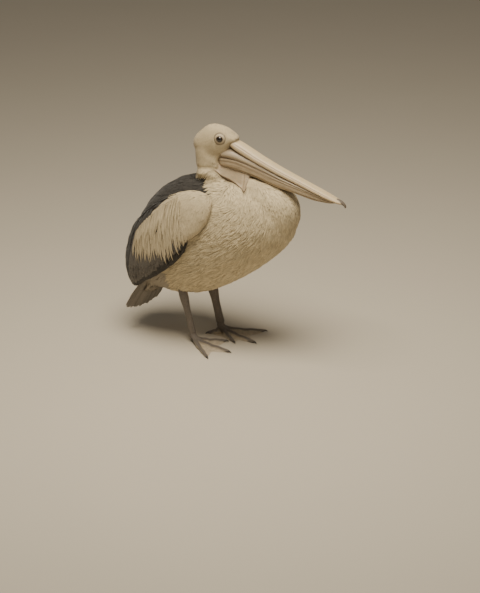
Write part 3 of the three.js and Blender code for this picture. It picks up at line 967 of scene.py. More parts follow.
@dataclass(frozen=True)
class ThroatPouch:
    """The folded pouch under the lower bill and the loose throat skin; folds are depths in mm."""

    folds: tuple[float, ...] = (0.9, 0.6)
    bag: Loft = Loft(((17, 0, 581), (67, 0, 582), (142, 0, 565), (208, 0, 547), (273, 0, 532),
            (330, 0, 518), (396, 0, 504)), ((0, 21, 20, 12), (20, 25, 22, 17), (50, 27, 24, 20),
            (127, 25, 22, 18), (195, 23, 18, 20), (263, 20, 14, 16), (321, 17, 12, 14), (389, 8, 4, 3)),
        ends=(16, 24), square=2.9)
    throat: Loft = Loft(((0, 0, 570), (60, 0, 554), (127, 0, 534)),
        ((0, 17, 16, 8), (30, 18, 20, 10), (60, 19, 22, 12), (110, 19, 24, 16), (132, 17, 22, 14)),
        ends=(18, 8), square=2.4)
    flap_top: tuple = ((6, -16, 574), (48, -18, 572), (96, -18, 566), (124, -16, 562))
    flap_edge: tuple = ((4, -31, 560), (22, -33, 551), (42, -33, 543), (67, -33, 536), (90, -37, 526),
        (112, -45, 515), (123, -50, 508), (128, -45, 518))

    def flap(self, ground: BVHTree) -> Shell:
        """Returns the right half of the loose skin that hangs from the pouch onto the body, the ground."""
        along, down = np.linspace(0, 1, 70), np.linspace(0, 1, 26)
        even = lambda line: np.linspace(0, 1, len(line))
        drawn = lambda line: np.stack([np.interp(along, even(line), axis) for axis in np.array(line).T], -1)
        top, edge = drawn(self.flap_top), drawn(self.flap_edge)
        front = top[:, None] * (1 - down)[:, None] + edge[:, None] * down[:, None]
        back = front.copy()
        for i, v in np.ndindex(front.shape[:2]):
            spot = Vector(front[i, v])
            place, normal, _, _ = ground.find_nearest(spot)
            held = float(ramp(along[i], 0.0, 0.1))
            short = (1.5 + 2.0 * down[v]) * held - 3.0 * (1 - held) - (spot - place).dot(normal)
            front[i, v] = spot + normal * (short if held < 1 else max(short, 0.0))
            back[i, v] = place - normal * 4.0
        for _ in range(6):
            beside = front[:-2, 1:-1] + front[2:, 1:-1] + front[1:-1, :-2] + front[1:-1, 2:]
            front[1:-1, 1:-1] = beside / 4
        share, v = np.meshgrid(along, down, indexing="ij")
        fold = 1.5 * np.sin(21 * share + 2.2 * v) * ramp(share, 0.35, 0.75)
        fold += 0.35 * np.sin(61 * share + 5 * v)
        front[..., 1] -= fold * v * (1.25 - v) * ramp(share, 0, 0.1)
        rows = np.concatenate([front, back[:, ::-1]], axis=1)
        shell = strip_shell(rows, rows[0].mean(0), rows[-1].mean(0))
        share, depth = np.repeat(along, 52), np.tile(np.concatenate([down, down[::-1]]), 70)
        # painted shade: the whole flap a little darker, and darker still in its two pleats and along its
        # lower edge
        lines = 0.12 + 0.6 * bump(share, 0.80, 0.018) + 0.6 * bump(share, 0.97, 0.02)
        lines += 0.75 * ramp(depth, 0.93, 1.0)
        shell.marks = {"groove": np.append(np.clip(lines, 0, 1), [0.4, 0.8])}
        return shell

    def shell(self, ground: BVHTree) -> Shell:
        """Returns the pouch and the throat skin, which lies on the ground, with folds and wrinkles."""

        def lengthwise(d: Array, angle: Array) -> Array:
            """Returns the relief of the bag: long folds and fine wrinkles."""
            high, wander = level(angle), 3 * np.sin(d / 37 + 1) + 2 * np.sin(d / 13)
            rows = sum(-depth * bump(high + wander, 8 - 30 * i, 5) for i, depth in enumerate(self.folds))
            fine = 0.22 * np.sin(np.radians(high * 20) + 1.7 * np.sin(d / 29))
            return (rows + fine + 0.12 * np.sin(np.radians(high * 47) + d / 17)) * ramp(d, 0, 25)

        def hanging(d: Array, angle: Array) -> Array:
            """Returns the relief of the throat skin: upright folds and a slight sag."""
            high = level(angle)
            upright = -1.6 * bump(d, 104, 2.4) + 0.8 * bump(d, 98, 4) - 0.9 * bump(d, 121, 2.5)
            sag = 0.3 * np.sin(d / 3.1 + np.radians(high * 3)) + 0.25 * np.sin(np.radians(high * 14))
            return upright * ramp(-high, -40, 0) + sag

        bag, throat = self.bag.shell(90, 110, lengthwise), self.throat.shell(60, 40, hanging)
        high = level(bag.marks["turn"] * 2 * np.pi)
        # painted shade: darker in the bag's two folds, at its top under the lower bill and along its
        # underside, and in the throat's upright fold
        folds = 0.75 * (bump(high, 8, 4) + bump(high, -22, 4))
        seams = 0.95 * ramp(high, 22, 30) + 0.8 * (1 - ramp(high, -52, -38))
        bag.marks["groove"] = np.clip(folds + seams, 0, 1)
        throat.marks["groove"] = 0.55 * bump(throat.marks["along"] * 132, 104, 2.2)
        flap = self.flap(ground)
        return Shell.join([bag, throat, flap, flap.mirrored()])


def attach(piece: Thing, slot: str, *nodes: str) -> Thing:
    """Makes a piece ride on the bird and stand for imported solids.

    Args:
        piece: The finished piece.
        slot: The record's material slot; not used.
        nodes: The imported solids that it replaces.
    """
    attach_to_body(piece, "root")
    if nodes:
        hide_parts(*nodes)
    LOG.info("%s: %d faces", piece.name, len(piece.data.polygons))
    return piece


# -------- eyes


@dataclass(frozen=True)
class Eye:
    """One eye and the bare ring round it.

    Attributes:
        side: Which side of the bird it is on.
        opening: The radius of the opening between the lids.
        ring: The radius at which the feathers begin.
        toe_in: How far it looks forwards, as a share of sideways.
        cornea: How much the clear front of the eyeball bulges.
        lid: How thick the lid is where it lies on the eyeball.
    """

    side: int
    opening: float = 8.7
    ring: float = 17.8
    toe_in: float = 0.2
    cornea: float = 0.45
    lid: float = 0.75

    @property
    def centre(self) -> Array:
        """The eyeball's centre."""
        return np.array([EYE_CENTRE[0], self.side * EYE_CENTRE[1], EYE_CENTRE[2]])

    def axes(self) -> tuple[Array, Array, Array]:
        """Returns where the eye looks, and the two directions square to that: forwards and up."""
        look = unit(np.array([self.toe_in, self.side, 0.1]))
        ahead = unit(np.array([1.0, 0, 0]) - look[0] * look)
        up = np.cross(look, ahead)
        return look, ahead, up * (1 if up[2] > 0 else -1)

    def polar(self, points: Array) -> tuple[Array, Array, Array]:
        """Returns the points' distance from the eye's axis, angle round it and distance along it."""
        look, ahead, up = self.axes()
        rel = np.asarray(points) - self.centre
        x, y = rel @ ahead, rel @ up
        return np.hypot(x, y), np.arctan2(y, x), rel @ look

    def build(self) -> None:
        """Makes the eyeball; the ring round it is part of the skin."""
        look, ahead, up = self.axes()
        polar = np.linspace(0, np.pi, 33)
        turn = np.linspace(0, 2 * np.pi, 48, endpoint=False)
        swell = EYE_RADIUS + self.cornea * (1 - ramp(polar, 0.2, 0.62))
        around = np.cos(turn)[:, None] * ahead + np.sin(turn)[:, None] * up
        rows = np.cos(polar)[:, None, None] * look + np.sin(polar)[:, None, None] * around
        rows = rows * swell[:, None, None] + self.centre
        shell = strip_shell(rows[1:-1], rows[0, 0], rows[-1, 0])
        radius, _, depth = self.polar(shell.points)
        shell.marks["radial"] = np.where(depth < 0, 1.0, radius / EYE_RADIUS)
        name = SIDES[self.side]
        attach(shell.object(f"eyeball_{name}", [Finishes.EYE.material()]), "eye", f"eye_{name}")

    def ring_shell(self, ground: BVHTree) -> Shell:
        """Returns the bare ring, from a thin lid edge on the eyeball out to the feathers.

        Args:
            ground: The head's own surface.
        """
        look, ahead, up = self.axes()
        turn = np.linspace(0, 2 * np.pi, 72, endpoint=False)
        oval = 1 + 0.05 * np.cos(2 * turn)
        edge_height = math.sqrt(EYE_RADIUS**2 - self.opening**2) + self.lid
        around = np.cos(turn)[:, None] * ahead + np.sin(turn)[:, None] * up
        base, outer = [], self.ring + 0.8
        for way in around:
            hit = ground.ray_cast(Vector(self.centre + look * 40 + way * outer), Vector(-look))[0]
            base.append(40.0 if hit is None else float((np.array(hit) - self.centre) @ look))
        rise = np.array(base) - edge_height
        rows = [self.centre + around * ((self.opening - 0.1) * oval)[:, None] + look * (edge_height - 2.2)]
        for share in np.linspace(0, 1, 17):
            radius = self.opening + (outer - self.opening) * share
            height = edge_height + rise * ramp(share, 0, 1) - 1.5 * float(ramp(share, 0.86, 1.0))
            if share < 0.9:
                height = height + 1.1 * math.sin(math.pi * min(1.0, share * 1.1)) ** 0.8
            height += 0.16 * np.sin(radius * 2.9) * math.sin(math.pi * share)
            height += 0.1 * np.sin(turn * 19 + radius) * share * (1 - share) * 4
            round_it = around * (radius * (1 + (oval - 1) * (1 - share)))[:, None]
            rows.append(self.centre + round_it + look[None] * height[:, None])
        shell = strip_shell(np.array(rows), None, None)
        shell.marks["lid"] = np.repeat(np.concatenate([[0.0], np.linspace(0, 1, 17)]), len(turn))
        if (shell.normals()[len(turn) * 6] @ look) < 0:
            shell.tris = shell.tris[:, ::-1]
        return shell


def strip_shell(rows: Array, first: Array | None, last: Array | None) -> Shell:
    """Returns a surface through closed rings of points.

    Args:
        rows: Rings, each with the same number of points.
        first: The point that closes the first ring, if one does.
        last: The point that closes the last ring, if one does.
    """
    count, sides = rows.shape[:2]
    points = [rows.reshape(-1, 3)]
    i, j = np.meshgrid(np.arange(count - 1), np.arange(sides), indexing="ij")
    a, b = i * sides + j, i * sides + (j + 1) % sides
    e, f = b + sides, a + sides
    tris = [np.stack([a, e, b], -1).reshape(-1, 3), np.stack([a, f, e], -1).reshape(-1, 3)]
    u0, u1, v0, v1 = j / sides, (j + 1) / sides, i / (count - 1), (i + 1) / (count - 1)
    corners = lambda *pairs: np.stack([np.stack(pair, -1) for pair in pairs], pairs[0][0].ndim)
    uv = [
        corners((u0, v0), (u1, v1), (u1, v0)).reshape(-1, 3, 2),
        corners((u0, v0), (u0, v1), (u1, v1)).reshape(-1, 3, 2),
    ]
    total, j = count * sides, np.arange(sides)
    for tip, start, v in ((first, 0, 0.0), (last, (count - 1) * sides, 1.0)):
        if tip is None:
            continue
        points.append(np.asarray(tip)[None])
        ends = [start + j, start + (j + 1) % sides]
        tris.append(np.stack([np.full(sides, total), *(ends if v == 0 else ends[::-1])], -1))
        total += 1
        level_v = np.full(sides, v)
        uv.append(corners(((j + 0.5) / sides, level_v), (j / sides, level_v), ((j + 1) / sides, level_v)))
    shell = Shell(np.vstack(points), np.vstack(tris), np.concatenate(uv))
    if first is not None and last is not None:
        middle = shell.points.mean(0)
        a, b, c = (shell.points[shell.tris[:, k]] - middle for k in range(3))
        if np.einsum("ij,ij->i", a, np.cross(b, c)).sum() < 0:
            shell.tris, shell.uv = shell.tris[:, ::-1], shell.uv[:, ::-1]
    return shell


# -------- legs and feet


@dataclass(frozen=True)
class Toe:
    """One toe in mm: half its thickness at root and tip, and its angle inwards from straight ahead."""

    number: int
    length: float
    root: float
    tip: float
    angle: float


@dataclass(frozen=True)
class Leg:
    """A scaly shank on a foot whose four toes are joined by webs.

    Attributes:
        side: Which side of the bird it is on.
        joint_x: How far forward its toe joint is.
        angles: The toes' angles, in degrees.
        stout: The shank's thickness beside the usual one.
        stance: From the midline to the shank.
        lean: How far behind the toe joint the hock is.
    """

    PLATE_POINTS = 5 * 18 + 2

    side: int
    joint_x: float
    angles: tuple[float, float, float, float]
    stout: float = 1.05
    stance: float = 55.0
    joint_height: float = 23.0
    hock_height: float = 157.0
    lean: float = 33.0
    claw_length: float = 14.0
    voxel: float = 2.3

    def toes(self) -> list[Toe]:
        """Returns the four toes."""
        sizes = ((46, 6.5, 4.0), (100, 8.0, 4.5), (138, 8.5, 4.7), (134, 8.0, 4.5))
        return [Toe(i + 1, *size, angle) for i, (size, angle) in enumerate(zip(sizes, self.angles))]

    def on_toe(self, toe: Toe, distance: float, height: float) -> Point:
        """Returns the point over a toe at a distance along it and a height."""
        heading = math.radians(-self.side * toe.angle)
        x, y = distance * math.cos(heading), distance * math.sin(heading)
        return (self.joint_x + x, self.side * self.stance + y, height)

    def toe_loft(self, toe: Toe) -> Loft:
        """Returns a toe with its two knuckles."""
        size = toe.length
        heights = ((-2, self.joint_height - 4), (0.16 * size, 11), (0.36 * size, 6), (0.7 * size, 5),
            (size, 4.4))
        return Loft(
            [self.on_toe(toe, d, h) for d, h in heights],
            (
                (0, toe.root, toe.root, toe.root),
                (0.3 * size, toe.root - 1.4, 6, 6),
                (0.42 * size, toe.root - 0.2, 7.0, 6),
                (0.56 * size, toe.tip + 0.7, 5, 6),
                (0.72 * size, toe.tip + 1.8, 5.8, 6),
                (0.88 * size, toe.tip + 0.3, 4.5, 5.5),
                (size, toe.tip, toe.tip, 5),
            ),
            ends=(7, 6),
        )

    def claw_loft(self, toe: Toe) -> Loft:
        """Returns a claw."""
        root, long = toe.length - 5, self.claw_length
        heights = ((0, 5.5), (long / 2, 5.4), (long, 2))
        middle = [self.on_toe(toe, root + d, height) for d, height in heights]
        return Loft(middle, ((0, 3, 2.6, 2.6), (long / 2, 2.5, 2.2, 2.2), (long, 1, 0.9, 0.9)), ends=(3, 2))

    def web_shell(self, first: Toe, second: Toe) -> Shell:
        """Returns the web between two toes, drawn back at its free edge and gathered at its root."""
        u, v = np.meshgrid(np.linspace(0, 1, 46), np.linspace(0, 1, 30), indexing="ij")
        along = u * (1 - 0.27 * (4 * v * (1 - v)) ** 0.8)
        a, b = (
            np.array([[self.on_toe(toe, s * (toe.length - 5), 0) for s in row] for row in along])
            for toe in (first, second)
        )
        flat = a * (1 - v)[..., None] + b * v[..., None]
        folds = 0.5 * np.sin(v * math.pi * 7 + 1.3 * np.sin(u * 5)) + 0.3 * np.sin(v * math.pi * 15 + u * 3)
        height = 2.3 + 8.0 * np.clip(1 - along / 0.3, 0, 1) ** 2
        height = (height + folds * 4 * v * (1 - v) * ramp(u, 0.1, 0.4)) * (1 - 0.3 * ramp(u, 0.92, 1.0))
        top = flat + height[..., None] * [0, 0, 1]
        ring = np.concatenate([top, flat[:, ::-1] - [0, 0, 0.6]], axis=1)
        return strip_shell(ring, ring[0].mean(0), ring[-1].mean(0))

    def shank_loft(self) -> Loft:
        """Returns the shank, from the hock down to the toe joint."""
        x, y = self.joint_x, self.side * self.stance
        return Loft(
            (
                (x - self.lean - 8, y + self.side, self.hock_height + 26),
                (x - self.lean - 3, y + self.side, self.hock_height + 8),
                (x - self.lean / 2, y, 0.55 * self.hock_height),
                (x - 2, y, self.joint_height),
            ),
            tuple(
                (d, width * self.stout, front * self.stout, back * self.stout)
                for d, width, front, back in (
                    (0, 8, 9, 9),
                    (18, 10, 13, 13),
                    (40, 10.5, 14, 14),
                    (78, 7.5, 10.5, 10.5),
                    (128, 7.5, 10, 10),
                    (163, 9, 11.5, 10.5),
                )
            ),
            ends=(12, 12),
        )

    def skin_shell(self) -> Shell:
        """Returns the whole leg and foot as one closed surface, flat underneath."""
        toes, joint = self.toes(), np.array([self.joint_x, self.side * self.stance])
        spine = [(self.joint_x + x, joint[1], 21) for x in (-15, -2, 11)]
        ball = Loft(spine, ((0, 10, 11, 11), (26, 10, 11, 11)), ends=(13, 13))
        shells = [self.shank_loft().shell(32, 50), ball.shell(24, 16)]
        shells += [self.toe_loft(toe).shell(20, 56) for toe in toes]
        shells += [self.web_shell(a, b) for a, b in zip(toes[:-1], toes[1:])]
        whole = fused(shells, self.voxel)
        whole.points = whole.eased(whole.points, 5)
        whole.points[:, 2] = np.maximum(whole.points[:, 2], 0.0)
        nearest = np.full(len(whole.points), 1e9)
        for toe in toes:
            way = unit(np.array(self.on_toe(toe, toe.length, 0))[:2] - joint)
            rel = whole.points[:, :2] - joint
            share = np.clip(rel @ way, 0, toe.length)
            nearest = np.minimum(nearest, np.linalg.norm(rel - share[:, None] * way, axis=1))
        whole.marks["web"] = ramp(nearest, 3.8, 6.8) * (1 - ramp(whole.points[:, 2], 7, 13))
        return whole

    def scutes(self) -> Shell:
        """Returns the plates across the top of each toe and down the front of the shank."""
        plates = []
        for toe in self.toes():
            loft, size = self.toe_loft(toe), toe.length
            for d in np.arange(0.2 * size, size - 4, 3.9):
                plates.append(self._plate(loft, d, 3.6, 48, 0.55))
        for d in np.arange(58, 158, 5.0):
            plates.append(self._plate(self.shank_loft(), d, 4.7, 52, 0.6))
        return Shell.join(plates)

    @staticmethod
    def _plate(loft: Loft, d: float, long: float, half_turn: float, proud: float) -> Shell:
        """Returns one plate on the top side of a loft.

        Args:
            loft: What it lies on.
            d: How far along its middle is.
            long: Its length along the loft, in mm.
            half_turn: How far it goes round to each side, in degrees.
            proud: How far it stands out, in mm.
        """
        spine = Spine(loft.spine)
        turns = np.radians(90 + np.linspace(-half_turn, half_turn, 9))
        steps = np.array([-0.5, -0.36, 0.0, 0.4, 0.5])
        lift = np.array([0.0, 0.35, 0.75, 1.0, 0.0])
        at = d + steps * long
        way, width, rise = spine.way(at), profile(loft.stations, 1, at), profile(loft.stations, 2, at)
        up = unit(np.cross(way, [0, 1, 0])) if abs(way[0, 1]) < 0.7 else unit(np.cross(way, [-1, 0, 0]))
        up = up * np.sign(up[:, 2:3] + 1e-9) if abs(way[0, 2]) < 0.7 else up * np.sign(up[:, 0:1])
        thick = lift[:, None] * proud * np.sin(np.linspace(0, math.pi, 9)) ** 0.35
        out = np.cos(turns)[:, None] * np.cross(up, way)[:, None] * (width[:, None] + thick)[..., None]
        out = out + np.sin(turns)[:, None] * up[:, None] * (rise[:, None] + thick)[..., None]
        middle = spine.at(at)[:, None]
        ring = np.concatenate([middle + out, (middle + out * 0.86)[:, ::-1]], axis=1)
        return strip_shell(ring, ring[0].mean(0), ring[-1].mean(0))

    def build(self, skin_map: "SkinMap") -> None:
        """Makes the claws and the plates; the leg's skin is part of the one skin."""
        name = SIDES[self.side]
        claws = Shell.join([self.claw_loft(toe).shell(16, 16) for toe in self.toes()])
        nodes = [f"claw_{name}_{toe.number}" for toe in self.toes()]
        attach(claws.object(f"claws_{name}", [Finishes.CLAW.material()]), "claw", *nodes)
        scutes = self.scutes()
        piece = scutes.object(f"scutes_{name}", [Finishes.LEG.material()])
        skin_map.patch(piece, scutes, len(scutes.points) // self.PLATE_POINTS, self.PLATE_POINTS)
        attach(piece, "leg_skin")


LEGS = (Leg(RIGHT, -48.0, (118, 25, -12, -45)), Leg(LEFT, -7.0, (128, 41, 17, -24), 1.28))


# -------- the body under the coat

# How the coat lies, on the right side: place, direction and length, all in mm.
BODY_LIE = ((70, 0, 670, -1, 0, 0.6, 6), (24, 0, 700, -1, 0, 0, 8), (-40, 0, 675, -0.8, 0, -0.6, 10),
    (-66, 0, 620, -0.2, 0, -1, 13), (-65, 0, 570, 0, 0, -1, 16), (60, -28, 660, -1, -0.1, 0.2, 6),
    (30, -35, 630, -1, -0.1, -0.4, 7), (0, -36, 650, -1, 0, -0.2, 8), (-20, -38, 600, -0.5, 0, -1, 10),
    (-20, -42, 565, -0.3, 0, -1, 13), (15, -35, 580, -0.4, 0, -0.9, 9),
    (-40, -30, 530, -0.8, -0.2, -0.5, 22), (40, -60, 520, -0.8, -0.1, -0.3, 20),
    (89, -60, 515, 0.6, -0.1, -0.7, 18), (150, -70, 500, 0.25, -0.1, -0.95, 22),
    (120, -85, 450, -0.45, 0, -0.85, 26), (90, -95, 470, -0.9, 0, -0.35, 26),
    (200, 0, 545, 0.8, 0, 0.1, 18), (260, 0, 515, 0.7, 0, -0.7, 20), (220, -50, 500, 0.4, -0.1, -0.9, 22),
    (270, -30, 460, 0.1, 0, -1, 24), (250, -60, 440, -0.15, 0, -1, 26), (270, 0, 400, -0.3, 0, -0.95, 28),
    (235, -60, 360, -0.6, 0, -0.8, 30), (200, -80, 400, -0.5, 0, -0.85, 28),
    (150, -100, 400, -0.75, 0, -0.6, 31), (100, -110, 350, -0.8, 0, -0.5, 33),
    (50, -112, 300, -0.85, 0, -0.5, 35), (0, -105, 250, -0.9, 0, -0.45, 36),
    (100, -60, 250, -0.85, 0, -0.5, 34), (150, 0, 270, -0.75, 0, -0.6, 32), (0, 0, 165, -1, 0, -0.1, 34),
    (-100, 0, 145, -1, 0, 0, 34), (-200, 0, 160, -0.8, 0, -0.4, 34), (-50, -110, 250, -0.9, 0, -0.4, 36),
    (-60, -60, 190, -0.6, 0, -0.7, 28), (-60, -60, 160, -0.3, 0, -0.95, 22),
    (-10, -60, 170, -0.4, 0, -0.9, 22), (-40, -60, 500, -0.85, 0, -0.35, 40),
    (10, -85, 500, -0.85, -0.2, -0.3, 30), (-80, 0, 520, -0.95, 0, -0.3, 50),
    (-150, 0, 480, -0.8, 0, -0.6, 60), (-220, 0, 400, -0.55, 0, -0.85, 70),
    (-280, 0, 300, -0.25, 0, -0.95, 70), (-290, 0, 200, 0, 0, -1, 52), (-62, 0, 538, -1, 0, -0.1, 20),
    (-52, -20, 538, -1, -0.1, -0.2, 20), (-225, 0, 110, -0.45, 0, -0.9, 30),
    (-190, 0, 150, -0.5, 0, -0.85, 30), (-66, 0, 548, -0.85, 0, -0.5, 11),
    (-60, -22, 546, -0.9, -0.1, -0.4, 12))
WING_LIE = ((38, -100, 470, -0.4, -0.1, -0.9, 11), (20, -110, 500, -0.6, 0, -0.6, 13),
    (0, -115, 400, -0.1, 0, -1, 17), (-10, -125, 430, -0.2, 0, -1, 19),
    (-60, -105, 480, -0.35, 0, -0.9, 24), (-120, -100, 430, -0.3, 0, -0.9, 34),
    (-70, -130, 380, 0.15, 0, -1, 46), (-130, -125, 330, 0.12, 0, -1, 54), (0, -120, 370, 0.1, 0, -1, 32),
    (-60, -110, 290, -0.2, 0, -0.95, 60), (-200, -95, 350, 0, 0, -1, 52), (-250, -80, 240, 0.05, 0, -1, 70),
    (-200, -90, 220, -0.2, 0, -0.95, 70), (-100, -60, 470, -0.6, 0, -0.75, 50),
    (-200, -50, 380, -0.4, 0, -0.9, 60), (-260, -40, 250, -0.1, 0, -1, 65))
# Where the coat fills a shape out: place, push and reach on the right side, in mm.
BODY_PUSH = ((12, -24, 584, 4, -6, 0, 15), (16, -24, 566, 2, -5, 0, 12), (-28, -36, 535, -2, -4, 2, 20),
    (10, -50, 530, 2, -4, 3, 22), (-215, -30, 300, -3, -2, 1, 60))
WING_PUSH = ((28, -100, 520, 13, -2, 8, 26), (45, -105, 478, 3, 0, 4, 26), (-28, -118, 352, -6, -3, 13, 34),
    (-225, -70, 350, -4, -1, 2, 50))
# The folded wing's white panel as x and z: its upper edge, its lower edge on the skin, its plumes' tips.
PANEL_TOP = ((-236, 285), (-229, 322), (-217, 354), (-196, 383), (-168, 414), (-138, 444), (-106, 470),
    (-60, 500), (-10, 524), (30, 545), (60, 555))
PANEL_BASE = ((-240, 350), (-200, 362), (-150, 384), (-120, 390), (-80, 394), (-50, 388), (-25, 372),
    (-10, 350), (60, 330))
PLUME_TIPS = ((-240, 268), (-214, 254), (-180, 262), (-150, 276), (-118, 286), (-100, 276), (-76, 312),
    (-55, 330), (-38, 352))
# As x and z: where the neck's down ends on the shoulders, and the edge of the black back.
COLLAR = ((-70, 543), (-36, 552), (-3, 558), (15, 556), (45, 545), (90, 530))
BACK_LINE = ((-300, 176), (-262, 190), (-238, 240), (-190, 310), (-131, 370), (-74, 425), (-16, 445),
    (33, 470), (60, 490))
# As z and x: the tail's front edge, behind which the rump is black.
RUMP_LINE = ((62, -260), (150, -212), (212, -164))
# How high the black reaches there, and at the nape.
RUMP_TOP, NAPE_TOP = 260, 541


class Form:
    """A closed surface under the coat, with how the coat lies on it and where it is black.

    Attributes:
        shell: The surface.
        flow: The coat's direction at each point.
        length: The coat's length at each point.
        dark: How far each point is inside the black.
        bare: How far each point is from the bare parts.
        above: How far each point is above the collar.
    """

    def __init__(self, depths: dict[str, float], lies: Table, pushes: Table, voxel: float,
            *extra: Shell) -> None:
        """Makes the surface.

        Args:
            depths: The coat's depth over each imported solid, in mm.
            lies: Places where the coat's direction and length are known.
            pushes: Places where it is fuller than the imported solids.
            voxel: The size of its faces, in mm.
            extra: Other surfaces that it takes in.
        """
        shells = [node_shell(name) for name in depths]
        shell = fused([*shells, *extra], voxel)
        shell.points = shell.eased(shell.points, 7)
        trees = [s.tree() for s in shells]
        gaps = np.array([[tree.find_nearest(Vector(p))[3] for p in shell.points] for tree in trees])
        depth = shell.eased(np.array(list(depths.values()))[gaps.argmin(0)], 14, shrink=True)
        shell.points = shell.eased(shell.points - depth[:, None] * shell.normals(), 3)
        mirror = np.where(shell.points[:, 1:2] > 0, -1, 1) * [[0, 1, 0]] + [[1, 0, 1]]
        still = shell.points * mirror
        for x, y, z, *push, reach in pushes:
            near = np.exp(-(((still - [x, y, z]) / reach) ** 2).sum(1))
            shell.points = shell.points + near[:, None] * push * mirror
        self.shell = shell
        self.normals = shell.normals()
        self.tree = shell.tree()
        self.flow, self.length = self._lie(lies)
        self.dark = self.above = np.zeros(len(shell.points))
        self.bare = np.full(len(shell.points), FAR)

    def _lie(self, lies: Table) -> tuple[Array, Array]:
        """Returns the coat's direction and length at each point."""
        rows = np.asarray(lies, float)
        right = self.shell.points.copy()
        right[:, 1] = -np.abs(right[:, 1])
        gap = np.linalg.norm(right[:, None] - rows[None, :, :3], axis=2)
        weight = 1 / (gap**3 + 500)
        weight /= weight.sum(1, keepdims=True)
        way = weight @ rows[:, 3:6]
        way[:, 1] *= np.where(self.shell.points[:, 1] > 0, -1, 1)
        length = weight @ rows[:, 6]
        x, y, z = right.T
        wave = np.sin(z / 16 + 1.9 * np.sin(x / 27)) + 0.7 * np.sin(x / 11 + y / 14)
        way = unit(way) + (0.17 * wave * ramp(length, 12, 26))[:, None] * np.cross(self.normals, unit(way))
        return self.settle(way), length

    def settle(self, way: Array) -> Array:
        """Returns directions laid flat on the surface, smoothed and at length 1."""
        way = way - (way * self.normals).sum(1, keepdims=True) * self.normals
        way = self.shell.eased(unit(way), 4, shrink=True)
        return unit(way - (way * self.normals).sum(1, keepdims=True) * self.normals)

    def beyond(self, line: Table) -> Array:
        """Returns how far each point is above a line drawn in x and z."""
        xs, zs = np.asarray(line, float).T
        return self.shell.points[:, 2] - np.interp(self.shell.points[:, 0], xs, zs)


